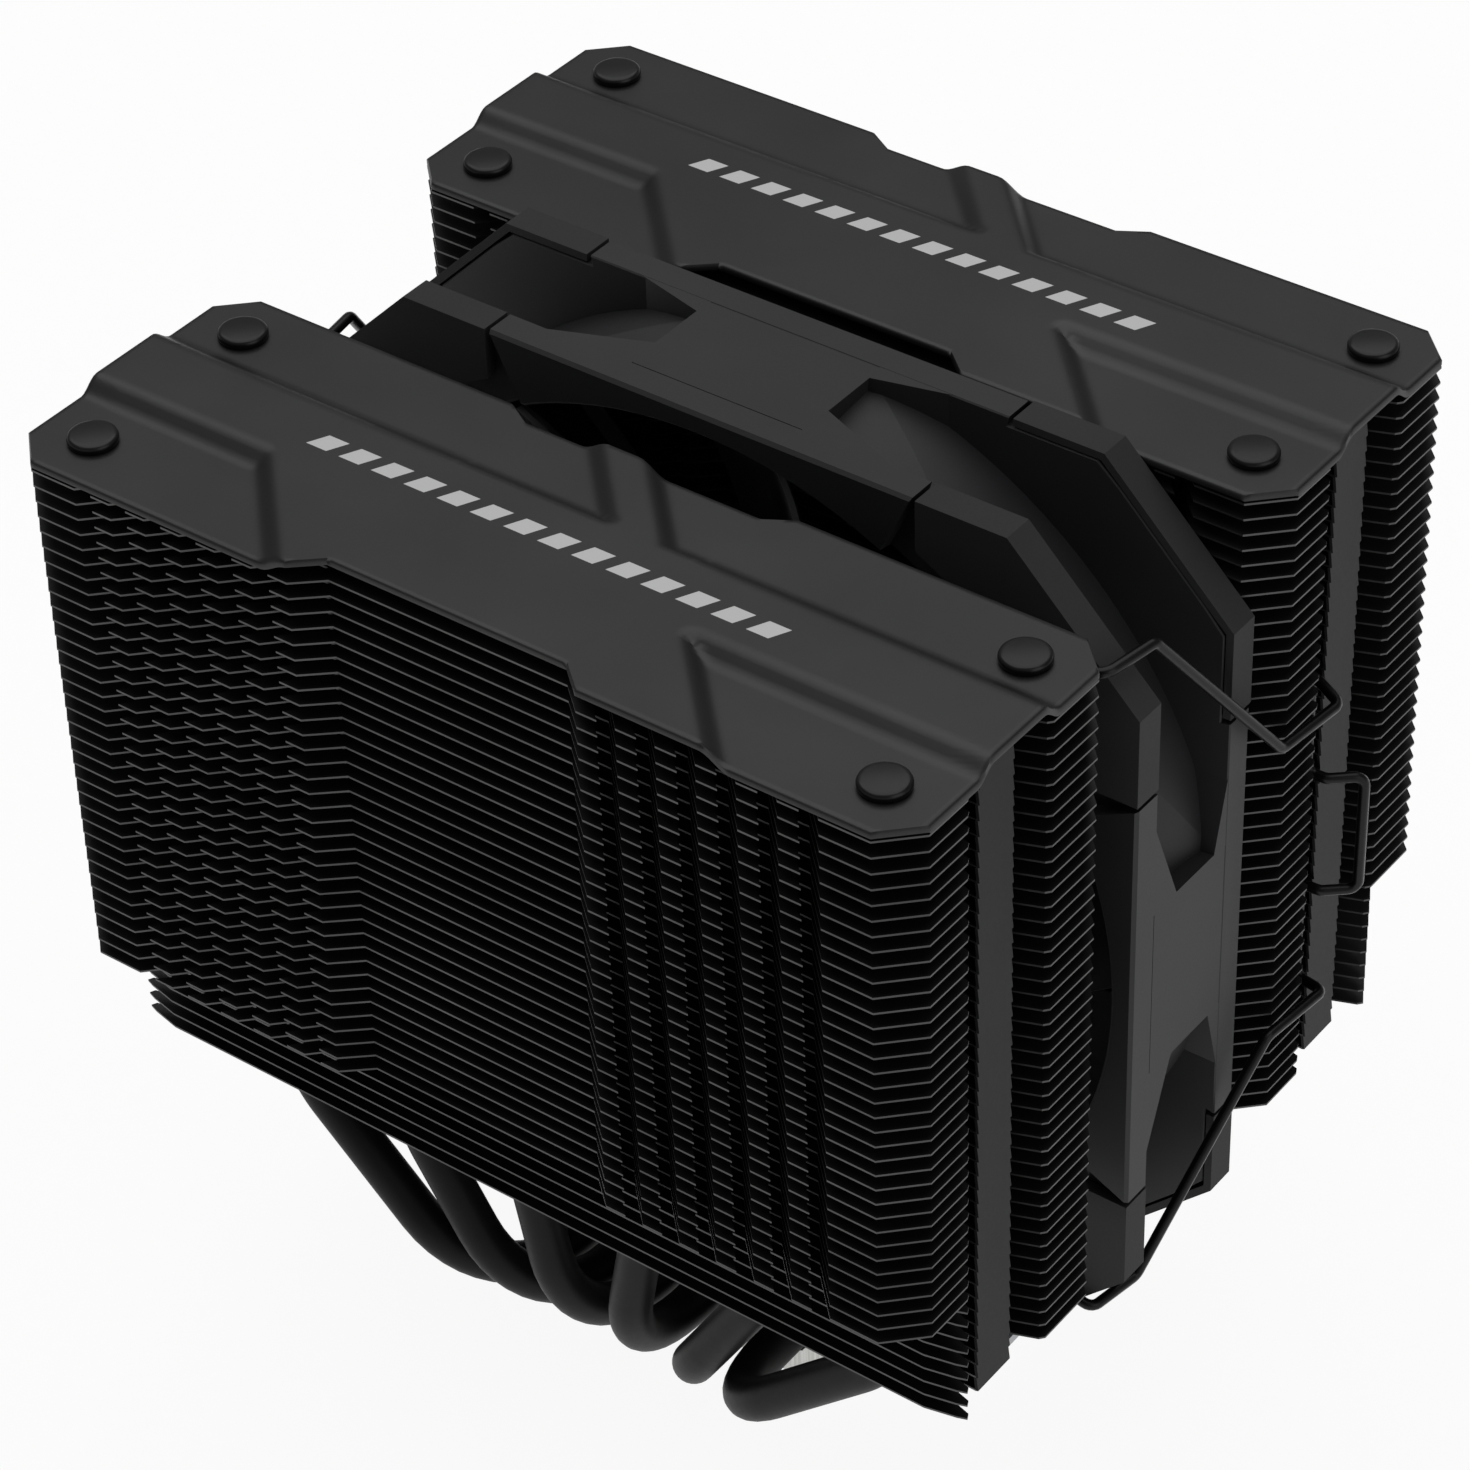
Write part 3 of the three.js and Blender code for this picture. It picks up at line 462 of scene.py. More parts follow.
def pile_tree():
    """Copies the shape upwards at an even pitch.

    Its upright faces get the edge material, whose lighter colour is partly a painted highlight; in
    the stretch along Y between the two painted shade bounds they keep the dark face material as
    painted shade.
    """
    tree, given = geometry_tree("Pile of fins", [
        ("Count", "NodeSocketInt"), ("Pitch", "NodeSocketFloat"), ("Bottom", "NodeSocketFloat"),
        ("Face", "NodeSocketMaterial"), ("Edge", "NodeSocketMaterial"),
        ("Painted shade from", "NodeSocketFloat"), ("Painted shade to", "NodeSocketFloat"),
    ])
    start = add_node(tree, "ShaderNodeCombineXYZ", {"Z": given["Bottom"]})
    step = add_node(tree, "ShaderNodeCombineXYZ", {"Z": given["Pitch"]})
    line = add_node(tree, "GeometryNodeMeshLine", {
        "Count": given["Count"], "Start Location": start.outputs["Vector"],
        "Offset": step.outputs["Vector"],
    })
    copies = add_node(tree, "GeometryNodeInstanceOnPoints", {
        "Points": line.outputs["Mesh"], "Instance": given["Geometry"],
    })
    solid = add_node(tree, "GeometryNodeRealizeInstances", {
        "Geometry": copies.outputs["Instances"],
    })
    normal = add_node(tree, "GeometryNodeInputNormal")
    parts = add_node(tree, "ShaderNodeSeparateXYZ", {"Vector": normal.outputs["Normal"]})
    height = add_node(
        tree, "ShaderNodeMath", {0: parts.outputs["Z"]}, operation="ABSOLUTE",
    )
    upright = add_node(
        tree, "FunctionNodeCompare", {"A": height.outputs[0], "B": 0.5}, operation="LESS_THAN",
    )
    place = add_node(tree, "GeometryNodeInputPosition")
    along = add_node(tree, "ShaderNodeSeparateXYZ", {"Vector": place.outputs["Position"]})
    past = add_node(tree, "FunctionNodeCompare", {
        "A": along.outputs["Y"], "B": given["Painted shade from"],
    }, operation="GREATER_THAN")
    short = add_node(tree, "FunctionNodeCompare", {
        "A": along.outputs["Y"], "B": given["Painted shade to"],
    }, operation="LESS_THAN")
    # Upright faces in this stretch keep the dark face material: painted shade.
    shaded = add_node(tree, "FunctionNodeBooleanMath", {
        0: past.outputs["Result"], 1: short.outputs["Result"],
    }, operation="AND")
    lit = add_node(tree, "FunctionNodeBooleanMath", {
        0: upright.outputs["Result"], 1: shaded.outputs["Boolean"],
    }, operation="NIMPLY")
    faced = add_node(tree, "GeometryNodeSetMaterial", {
        "Geometry": solid.outputs["Geometry"], "Material": given["Face"],
    })
    edged = add_node(tree, "GeometryNodeSetMaterial", {
        "Geometry": faced.outputs["Geometry"], "Selection": lit.outputs["Boolean"],
        "Material": given["Edge"],
    })
    add_node(tree, "NodeGroupOutput", {"Geometry": edged.outputs["Geometry"]})
    return tree


def rod_tree():
    """Rounds each corner of a wire path by its own bend radius and sweeps a round section."""
    tree, given = geometry_tree("Bent rod", [
        ("Radius", "NodeSocketFloat"), ("Sides", "NodeSocketInt"), ("Arc points", "NodeSocketInt"),
        ("Material", "NodeSocketMaterial"),
    ])
    path = add_node(tree, "GeometryNodeMeshToCurve", {"Mesh": given["Geometry"]})
    bend = add_node(tree, "GeometryNodeInputNamedAttribute", {"Name": "bend"}, data_type="FLOAT")
    filleted = add_node(tree, "GeometryNodeFilletCurve", {
        "Curve": path.outputs["Curve"], "Count": given["Arc points"],
        "Radius": bend.outputs["Attribute"],
    }, mode="POLY")
    section = add_node(tree, "GeometryNodeCurvePrimitiveCircle", {
        "Resolution": given["Sides"], "Radius": given["Radius"],
    })
    swept = add_node(tree, "GeometryNodeCurveToMesh", {
        "Curve": filleted.outputs["Curve"], "Profile Curve": section.outputs["Curve"],
        "Fill Caps": True,
    })
    solid = add_node(tree, "GeometryNodeRealizeInstances", {"Geometry": swept.outputs["Mesh"]})
    coated = add_node(tree, "GeometryNodeSetMaterial", {
        "Geometry": solid.outputs["Geometry"], "Material": given["Material"],
    })
    add_node(tree, "NodeGroupOutput", {"Geometry": coated.outputs["Geometry"]})
    return tree


PILE = pile_tree()
ROD = rod_tree()


def bent_rods(name, paths, radius, sides, arc_points, material):
    """Round rods along paths of (point, bend radius), as one piece."""
    mesh = bpy.data.meshes.new(name)
    points = [point for path in paths for point, bend in path]
    edges = []
    start = 0
    for path in paths:
        edges += [(start + i, start + i + 1) for i in range(len(path) - 1)]
        start += len(path)
    mesh.from_pydata(points, edges, [])
    bends = mesh.attributes.new("bend", "FLOAT", "POINT")
    bends.data.foreach_set("value", [bend for path in paths for point, bend in path])
    piece = mesh_object(name, mesh, None)
    with_tree(piece, ROD, {
        "Radius": radius, "Sides": sides, "Arc points": arc_points, "Material": material,
    })
    return settle(piece)


# --------------------------------------------------------------------- floor

STAGE_SIZE = 12.0
PALE = "#fcfcfc"
FLOOR_GLOW = 0.95
FLOOR_GAP = 0.02 * MM


def floor():
    """Plain matt paper that glows, so that the cooler casts hardly any shadow."""
    material, tree, shader = new_material("Backlit white paper", 0.0, 0.9)
    shaded(tree, shader, pattern(tree, 3 * MM, detail=4), "#3c3c3c", "#404040")
    shader.inputs["Emission Color"].default_value = linear(PALE)
    shader.inputs["Emission Strength"].default_value = FLOOR_GLOW
    half = STAGE_SIZE / 2
    ground = cad_box[0][2] - FLOOR_GAP
    corners = [(-half, -half, ground), (half, -half, ground), (half, half, ground),
               (-half, half, ground)]
    sheet = from_points("floor", corners, [(0, 1, 2, 3)], material)


# -------------------------------------------------------------------- towers


def saw_teeth(x, y_edge, inward):
    """Leaning teeth along a fin's long edge, from the recess outwards."""
    points = []
    for _ in range(TOOTH_COUNT):
        x += TOOTH_FLAT
        points.append((x, y_edge))
        points.append((x - TOOTH_DEPTH, y_edge + inward * TOOTH_DEPTH))
        points.append((x - TOOTH_DEPTH + TOOTH_GAP, y_edge + inward * TOOTH_DEPTH))
        x += TOOTH_GAP
        points.append((x, y_edge))
    return points


def long_edge(recess, inward):
    """Half of a fin's long edge, from its middle out to its chamfered corner."""
    half_width, depth, run = recess
    y = -inward * HALF_DEPTH
    return [
        (half_width - run, y + inward * depth), (half_width, y),
        *saw_teeth(half_width, y, inward), (HALF_LENGTH - FIN_CHAMFER, y),
    ]


def short_side():
    """A fin's short side from front to rear: wire slot, folded tab and open notch."""
    strip_x = HALF_LENGTH - STRIP_SETBACK
    return [
        (HALF_LENGTH, SLOT_MOUTH - 0.8 * MM),
        (HALF_LENGTH - 0.4 * MM, SLOT_MOUTH),
        (HALF_LENGTH - SLOT_DEPTH, SLOT_FLOOR),
        (HALF_LENGTH - SLOT_DEPTH, STRIP_START),
        (strip_x, STRIP_START),
        (strip_x, STRIP_END),
        (HALF_LENGTH - NOTCH_DEPTH, STRIP_END + 1.4 * MM),
        (HALF_LENGTH - NOTCH_DEPTH, NOTCH_END - 1.6 * MM),
        (HALF_LENGTH - 0.6 * MM, NOTCH_END),
        (HALF_LENGTH, NOTCH_END + 0.7 * MM),
    ]


def fin_outline(cut_side):
    """Right half of a fin's outline, from the front's middle round to the rear's middle."""
    if cut_side == "front":
        front = [(x, -y) for x, y in CUT_CORNER]
    else:
        front = long_edge(OUTER_RECESS, 1) + [(HALF_LENGTH, -HALF_DEPTH + FIN_CHAMFER)]
    if cut_side == "rear":
        rear = list(CUT_CORNER)
    else:
        rear = long_edge(INNER_RECESS, -1) + [(HALF_LENGTH, HALF_DEPTH - FIN_CHAMFER)]
    return front + short_side() + rear[::-1]


def fin_blank(name, cut_side, y):
    """One thin fin at the height of the origin, ready to be piled up."""
    right = fin_outline(cut_side)
    outline = right + [(-x, v) for x, v in reversed(right)]
    points = [(x, v + y, z) for z in (0, FIN_THICKNESS) for x, v in outline]
    n = len(outline)
    faces = [tuple(reversed(range(n))), tuple(range(n, 2 * n))]
    faces += [(i, (i + 1) % n, (i + 1) % n + n, i + n) for i in range(n)]
    return from_points(name, points, faces, None)


def joined(name, objects):
    """One object from several, which are used up."""
    with bpy.context.temp_override(
        active_object=objects[0], object=objects[0], selected_objects=objects,
        selected_editable_objects=objects,
    ):
        bpy.ops.object.join()
    objects[0].name = name
    return objects[0]


def tower_fins(side):
    """A tower's fins: full ones above and cut-back ones below."""
    y = TOWER_Y[side]
    top_group = FIN_TOP - FIN_THICKNESS - (FULL_FINS - 1) * FIN_PITCH
    groups = [
        ("full", None, FULL_FINS, top_group),
        ("cut", side, CUT_FINS, top_group - CUT_FINS * FIN_PITCH),
    ]
    piles = []
    for label, cut_side, count, bottom in groups:
        blank = fin_blank(f"{side}_{label}_fins", cut_side, y)
        # The notch between the folded tab and the open end gets painted shade: its upright faces
        # keep the dark face material.
        with_tree(blank, PILE, {
            "Count": count, "Pitch": FIN_PITCH, "Bottom": bottom,
            "Face": fin_face, "Edge": fin_edge_and_highlight,
            "Painted shade from": y + STRIP_END, "Painted shade to": y + NOTCH_END,
        })
        settle(blank, smooth_angle=20)
        piles.append(blank)
    hand_over(joined(f"{side}_fins", piles), "heatsink", "black_fins", f"{side}_fin_stack")


TAB_PROUD = 0.3 * MM  # how far a tab stands out from the fins' edge
TAB_LEAN = 0.28 * MM
TAB_HEIGHT = 0.96 * FIN_PITCH
TAB_HEM, TAB_HEM_DEPTH = 0.15 * MM, 0.35 * MM


def tower_tabs(side):
    """The interlocked tabs that close a tower's short sides."""
    y = TOWER_Y[side]
    bottom = FIN_TOP - FIN_THICKNESS - (FULL_FINS + CUT_FINS - 1) * FIN_PITCH
    outer = HALF_LENGTH - STRIP_SETBACK + TAB_PROUD
    for label, end in (("left", -1), ("right", 1)):
        points = []
        for z, x in ((0, outer), (TAB_HEIGHT, outer - TAB_LEAN)):
            for x_place, y_place in (
                (x - TAB_HEM_DEPTH, STRIP_START), (x, STRIP_START + TAB_HEM),
                (x, STRIP_END - TAB_HEM), (x - TAB_HEM_DEPTH, STRIP_END),
            ):
                points.append((end * x_place, y + y_place, z))
        faces = [(0, 1, 2, 3), (7, 6, 5, 4)]
        faces += [(i, i + 4, (i + 1) % 4 + 4, (i + 1) % 4) for i in range(4)]
        tab = from_points(f"{side}_{label}_tabs", points, faces, None)
        with_tree(tab, PILE, {
            "Count": FULL_FINS + CUT_FINS - 1, "Pitch": FIN_PITCH, "Bottom": bottom,
            "Face": fin_tab, "Edge": fin_tab,
        })
        settle(tab, smooth_angle=20)
        hand_over(tab, "heatsink", "black_fins")


COVER_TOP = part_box("front_cover")[1].z
RIDGE_HEIGHT = 2 * MM
RIDGE_FRONT, RIDGE_REAR = -6.4 * MM, 7.9 * MM  # halfway up its flanks
BRANCH_SLANT = 0.955
FRONT_BRANCH = (-25.5 * MM, 44.5 * MM)
REAR_BRANCH = (-7.7 * MM, 1.9 * MM)
CREASE = 3.4 * MM  # width of a flank with its soft creases
SHEET = 0.95 * MM
COVER_STEP = 0.7 * MM
COVER_EDGE = 0.3 * MM  # rounding of the sheet's edge
OVERRUN = 9 * MM  # how far the ridge's outline runs past the sheet


def ridge_outline():
    """The raised part of a cover, halfway up its flanks."""
    front, rear = -HALF_DEPTH - OVERRUN, HALF_DEPTH + OVERRUN
    end = HALF_LENGTH + OVERRUN

    def slanted(x, y, foot):
        """A point on a branch's flank that stands at x where y is foot."""
        return (x - BRANCH_SLANT * (y - foot), y)

    rear_foot = HALF_DEPTH - INNER_RECESS[1]
    return [
        slanted(FRONT_BRANCH[0], front, -HALF_DEPTH), slanted(FRONT_BRANCH[1], front, -HALF_DEPTH),
        slanted(FRONT_BRANCH[1], RIDGE_FRONT, -HALF_DEPTH), (end, RIDGE_FRONT), (end, RIDGE_REAR),
        slanted(REAR_BRANCH[1], RIDGE_REAR, rear_foot), slanted(REAR_BRANCH[1], rear, rear_foot),
        slanted(REAR_BRANCH[0], rear, rear_foot), slanted(REAR_BRANCH[0], RIDGE_REAR, rear_foot),
        (-end, RIDGE_REAR), (-end, RIDGE_FRONT),
        slanted(FRONT_BRANCH[0], RIDGE_FRONT, -HALF_DEPTH),
    ]


def depth_inside(outline, x, y):
    """Distance from a point to an outline, negative outside it."""
    nearest = math.inf
    inside = False
    for (ax, ay), (bx, by) in zip(outline, outline[1:] + outline[:1]):
        dx, dy = bx - ax, by - ay
        share = ((x - ax) * dx + (y - ay) * dy) / (dx * dx + dy * dy)
        share = min(max(share, 0.0), 1.0)
        nearest = min(nearest, math.hypot(x - ax - share * dx, y - ay - share * dy))
        if (ay > y) != (by > y) and x < ax + (y - ay) / dy * dx:
            inside = not inside
    return nearest if inside else -nearest


def edge_at(x, recess):
    """How far a cover's long edge lies from the tower's middle at x."""
    half_width, depth, run = recess
    x = abs(x)
    cut = min(max((half_width - x) / run, 0.0), 1.0) * depth
    corner = max(0.0, x - (HALF_LENGTH - FIN_CHAMFER))
    return HALF_DEPTH - cut - corner


def even_steps(start, end, marks=()):
    """Values from start to end about COVER_STEP apart, with the marks among them."""
    stops = sorted({start, end, start + COVER_EDGE, end - COVER_EDGE, *marks})
    values = []
    for low, high in zip(stops, stops[1:]):
        count = max(1, round((high - low) / COVER_STEP))
        values += [low + (high - low) * k / count for k in range(count)]
    return values + [end]


def tower_cover(side):
    """Stamped sheet cover: a grid whose height follows the ridge with soft creases."""
    outline = ridge_outline()
    corners = [HALF_LENGTH - FIN_CHAMFER]
    for half_width, _, run in (OUTER_RECESS, INNER_RECESS):
        corners += [half_width, half_width - run]
    columns = even_steps(-HALF_LENGTH, HALF_LENGTH, [*corners, *[-x for x in corners]])
    rows = even_steps(-HALF_DEPTH, HALF_DEPTH)
    low_level = COVER_TOP - RIDGE_HEIGHT
    top = []
    for x in columns:
        front, rear = -edge_at(x, OUTER_RECESS), edge_at(x, INNER_RECESS)
        for v in rows:
            y = front + (v + HALF_DEPTH) / (2 * HALF_DEPTH) * (rear - front)
            rise = min(max(depth_inside(outline, x, y) / CREASE + 0.5, 0.0), 1.0)
            z = low_level + RIDGE_HEIGHT * rise * rise * (3 - 2 * rise)
            on_edge = x in (columns[0], columns[-1]) or v in (rows[0], rows[-1])
            top.append((x, y + TOWER_Y[side], z - (COVER_EDGE if on_edge else 0.0)))
    under = [(x, y, z - SHEET + (COVER_EDGE if i % len(rows) in (0, len(rows) - 1) else 0.0))
             for i, (x, y, z) in enumerate(top)]
    n, m, total = len(columns), len(rows), len(top)
    faces = []
    for i in range(n - 1):
        for j in range(m - 1):
            a = i * m + j
            faces.append((a, a + m, a + m + 1, a + 1))
            faces.append((total + a, total + a + 1, total + a + m + 1, total + a + m))
    rim = (
        [i * m for i in range(n)] + [(n - 1) * m + j for j in range(1, m)]
        + [i * m + m - 1 for i in range(n - 2, -1, -1)] + list(range(m - 2, 0, -1))
    )
    for a, b in zip(rim, rim[1:] + rim[:1]):
        faces.append((a, total + a, total + b, b))
    cover = from_points(f"{side}_stamped_cover", top + under, faces, anodised_cover)
    settle(cover, 50)
    hand_over(cover, "heatsink", "dark_covers", f"{side}_cover")


CAP_HEIGHT = 1.3 * MM
# A cap's rim, as shares of its radius and drops below its top
CAP_RIM = (
    (0.78, 0.0), (0.88, 0.06 * MM), (0.96, 0.24 * MM), (1.0, 0.55 * MM), (1.0, 0.95 * MM),
)
CAP_UNDERSIDE, CAP_STEM = 0.95, 0.4  # shares of its radius
CAP_SIDES = 40


def cover_studs(side):
    """Flat caps with a rounded rim, one at each corner of a cover."""
    caps = []
    nodes = [f"{side}_cover_stud_{i}" for i in (1, 2, 3, 4)]
    for node in nodes:
        low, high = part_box(node)
        radius = (high.x - low.x) / 2
        seat = high.z - CAP_HEIGHT
        profile = [
            (0, high.z), *[(radius * share, high.z - drop) for share, drop in CAP_RIM],
            (radius * CAP_UNDERSIDE, seat + 0.02 * MM), (radius * CAP_STEM, seat + 0.01 * MM),
            (radius * CAP_STEM, low.z), (0, low.z),
        ]
        cap = turned(f"{node}_cap", profile, CAP_SIDES, black_oxide)
        cap.data.transform(Matrix.Translation(((low.x + high.x) / 2, (low.y + high.y) / 2, 0)))
        caps.append(settle(cap, 45))
    hand_over(joined(f"{side}_cover_caps", caps), "heatsink", "gloss_studs", *nodes)


# ---------------------------------------------------------------- heat pipes

PIPE_HEIGHT = 8.7 * MM
PIPE_PITCH = 7.6 * MM
PIPE_KNEE = 39.8 * MM
UPPER_BEND = 14.2 * MM
LOWER_BEND = 18.4 * MM
PIPE_SIDES, PIPE_ARC_POINTS = 28, 12


def heat_pipes():
    """Six U-shaped pipes through the base and up both towers."""
    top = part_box("heat_pipe_1")[1].z
    reach = TOWER_Y["rear"]
    tower_x = [-x for x in PIPE_X] + [*reversed(PIPE_X)]
    paths = []
    for i, x in enumerate(tower_x):
        base_x = (i - (len(tower_x) - 1) / 2) * PIPE_PITCH
        leg = [(x, top, 0.0), (x, PIPE_KNEE, UPPER_BEND), (base_x, PIPE_HEIGHT, LOWER_BEND)]
        front = [((u, -reach, z), bend) for u, z, bend in leg]
        rear = [((u, reach, z), bend) for u, z, bend in reversed(leg)]
        paths.append(front + rear)
    pipes = bent_rods("lacquered_pipes", paths, PIPE_RADIUS, PIPE_SIDES, PIPE_ARC_POINTS,
                     lacquered_copper)
    nodes = [f"heat_pipe_{i + 1}" for i in range(len(tower_x))]
    hand_over(pipes, "heatsink", "black_pipes", *nodes)


# ---------------------------------------------------------------------- base


def base():
    """Milled base pieces and the mounting bar, with broken edges."""
    for node, width, material, slot in (
        ("cold_plate", 0.4 * MM, nickel_plate, "plated_base"),
        ("clamp_block", 0.5 * MM, nickel_plate, "plated_base"),
        ("mounting_bar", 0.25 * MM, zinc_steel, "steel_hardware"),
    ):
        piece = copies_of(f"{node}_milled", [node], material)
        bevelled(piece, width, segments=2, angle=40)
        hand_over(piece, "heatsink", slot, node)


# ------------------------------------------------------------ towers and base

heat_pipes()
for tower in ("front", "rear"):
    tower_fins(tower)
    tower_tabs(tower)
    tower_cover(tower)
    cover_studs(tower)
base()

# ----------------------------------------------------------------------- fan


def octagon_radius(angle, inset=0.0):
    """Distance from the fan's axis to its chamfered square outline."""
    c, s = abs(math.cos(angle)), abs(math.sin(angle))
    flat = (FAN_HALF - inset) / max(c, s)
    chamfer = (2 * FAN_HALF - FAN_CHAMFER - inset * math.sqrt(2)) / (c + s)
    return min(flat, chamfer)


def at_fan(radius, angle, y):
    """A point about the fan's axis; angle 0 is to the right and a quarter turn is up."""
    return Vector((radius * math.cos(angle), y, FAN_CENTRE + radius * math.sin(angle)))


PANEL_HALF = 14.3 * MM  # flat outer panel in the middle of each side
PANEL_INSET = 0.05 * MM
GUSSETS = ((-1, 14.5 * MM, 5.5 * MM), (1, 12 * MM, 2.8 * MM))  # flange, length and width
CREASE_DROP = 2.6 * MM
CREASE_SPAN = 0.66  # share of the way to the corner where the duct's crease meets the front
CREASE_MARGIN = 1 * MM
COLUMN_ANGLE = math.radians(3)
PANEL_WALL, PAD_WALL = 0.002, 0.004  # angles that the upright steps at panel and pad take up
PAD_SEAT = 2.1 * MM  # how far the flanges are set back under the pads
LIP = 0.5 * MM  # rounding of the flanges' outer edges
INNER_LIP = 0.2 * MM  # and of their inner ones


def quarter_columns():
    """Angles across one side of the fan, and where its panel ends and its pads begin."""
    pad_angle = math.atan2(PAD_START, FAN_HALF)
    corner = math.pi / 4
    chamfer_start = math.atan2(FAN_HALF - FAN_CHAMFER, FAN_HALF)
    panel = math.atan2(PANEL_HALF, FAN_HALF)
    marks = [
        0, panel, panel + PANEL_WALL, pad_angle - PAD_WALL, pad_angle, chamfer_start, corner,
    ]
    columns = []
    for start, end in zip(marks, marks[1:]):
        steps = max(1, round((end - start) / COLUMN_ANGLE))
        columns += [start + (end - start) * k / steps for k in range(steps)]
    return [-a for a in (corner, *columns[:0:-1])] + columns, panel, pad_angle


def fan_frame():
    """Flanges, duct and flat side panels as one ring, swept round the fan's axis."""
    offsets, panel, pad_angle = quarter_columns()
    front_inner, rear_inner = FAN_FRONT + FLANGE, FAN_REAR - FLANGE
    crease_run = rear_inner - front_inner - 2 * CREASE_MARGIN
    profiles = []
    for quarter in range(4):
        for offset in offsets:
            angle = quarter * math.pi / 2 + offset
            padded = abs(offset) > pad_angle - PAD_WALL / 4
            outer = octagon_radius(angle, PAD_SKIN if padded else 0.0)
            seat = PAD_SEAT if padded else 0.0
            front, rear = FAN_FRONT + seat, FAN_REAR - seat
            if abs(offset) <= panel:
                low = mid = octagon_radius(angle) - PANEL_INSET
            else:
                mid = BARREL
                low = BARREL - CREASE_DROP
            across = (abs(offset) - panel) / (math.pi / 4 - panel)
            run = min(max(across / CREASE_SPAN, 0.0), 1.0)
            crease = rear_inner - CREASE_MARGIN - run * crease_run
            profiles.append([at_fan(radius, angle, y) for radius, y in (
                (BORE + LIP, front), (outer - LIP, front), (outer, front + LIP),
                (outer, front_inner - INNER_LIP), (outer - INNER_LIP, front_inner),
                (low, front_inner), (mid, crease), (mid, rear_inner),
                (outer - INNER_LIP, rear_inner), (outer, rear_inner + INNER_LIP),
                (outer, rear - LIP), (outer - LIP, rear), (BORE + LIP, rear),
                (BORE, rear - LIP), (BORE, front + LIP),
            )])
    rows = len(profiles[0])
    count = len(profiles)
    points = [point for profile in profiles for point in profile]
    faces = []
    for i in range(count):
        j = (i + 1) % count
        for k in range(rows):
            m = (k + 1) % rows
            faces.append((i * rows + k, j * rows + k, j * rows + m, i * rows + m))
    ring = from_points("fan_ring", points, faces, moulded_pbt)
    return settle(ring, 7)


WEB_OVERLAP = 0.3 * MM  # how deep a web reaches into the flange and the panel
WEB_ROOT = 1 * MM  # and into the duct


def gussets():
    """Webs in the windows' corners, from the flat panels' ends to the flanges."""
    top = FAN_HALF - PANEL_INSET
    start = PANEL_HALF - WEB_OVERLAP
    webs = []
    for quarter in range(4):
        turn = quarter * math.pi / 2
        for end in (-1, 1):
            for flange, length, width in GUSSETS:
                root = FAN_REAR - FLANGE if flange > 0 else FAN_FRONT + FLANGE
                near = root + flange * WEB_OVERLAP
                triangle = [
                    (start, near), (start, root - flange * width), (PANEL_HALF + length, near),
                ]
                points = []
                for level in (0, 1):
                    for along, y in triangle:
                        wall = math.sqrt(BARREL ** 2 - along ** 2) - WEB_ROOT
                        out = top if level else wall
                        angle = turn + math.atan2(end * along, out)
                        points.append(at_fan(math.hypot(out, along), angle, y))
                faces = [(0, 1, 2), (5, 4, 3), (0, 3, 4, 1), (1, 4, 5, 2), (2, 5, 3, 0)]
                webs.append(from_points("web", points, faces, moulded_pbt))
    return settle(joined("frame_webs", webs), 30)


PLATE_RADIUS, PLATE_THICKNESS, PLATE_EDGE = 21 * MM, 3 * MM, 0.6 * MM
PLATE_SEGMENTS = 64
ARM_HALF = 2.5 * MM
# An arm's section, as depths from the rear and shares of its half width
ARM_SECTION = ((3 * MM, 0.75), (1 * MM, 1), (0.1 * MM, 0.85))
ARM_ROOT, ARM_END = PLATE_RADIUS - 2 * MM, BORE + 1 * MM


def motor_mount():
    """The motor's plate and the four arms that carry it."""
    plate = turned("motor_plate", [
        (0, 0), (PLATE_RADIUS - PLATE_EDGE, 0), (PLATE_RADIUS, PLATE_EDGE),
        (PLATE_RADIUS, PLATE_THICKNESS), (0, PLATE_THICKNESS),
    ], PLATE_SEGMENTS, moulded_pbt)
    plate.data.transform(
        Matrix.Translation((0, FAN_REAR, FAN_CENTRE)) @ Matrix.Rotation(math.pi / 2, 4, "X"),
    )
    parts = [plate]
    for quarter in range(4):
        angle = math.pi / 4 + quarter * math.pi / 2
        sideways = Vector((-math.sin(angle), 0, math.cos(angle)))
        points = []
        for depth, share in ARM_SECTION:
            for reach, side in ((ARM_ROOT, -1), (ARM_END, -1), (ARM_END, 1), (ARM_ROOT, 1)):
                middle = at_fan(reach, angle, FAN_REAR - depth)
                points.append(middle + sideways * side * ARM_HALF * share)
        faces = [(0, 1, 2, 3), (8, 9, 10, 11)]
        for level in (0, 4):
            faces += [
                (level + i, level + (i + 1) % 4, level + 4 + (i + 1) % 4, level + 4 + i)
                for i in range(4)
            ]
        parts.append(from_points(f"motor_arm_{quarter + 1}", points, faces, moulded_pbt))
    return [settle(part, 30) for part in parts]


frame_piece = joined("moulded_fan_frame", [fan_frame(), gussets(), *motor_mount()])
hand_over(
    frame_piece, "fan", "grey_frame",
    "fan_front_flange", "fan_rear_flange", "fan_duct", "fan_motor_mount",
)


def corner_pads():
    """Silicone pads on the flanges' corners, with softened edges."""
    nodes = [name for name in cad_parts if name.endswith("_pad")]
    pads = copies_of("silicone_pads", nodes, silicone_pad)
    bevelled(pads, 0.8 * MM, segments=3, angle=30)
    hand_over(pads, "fan", "rubber_pads", *nodes)


corner_pads()


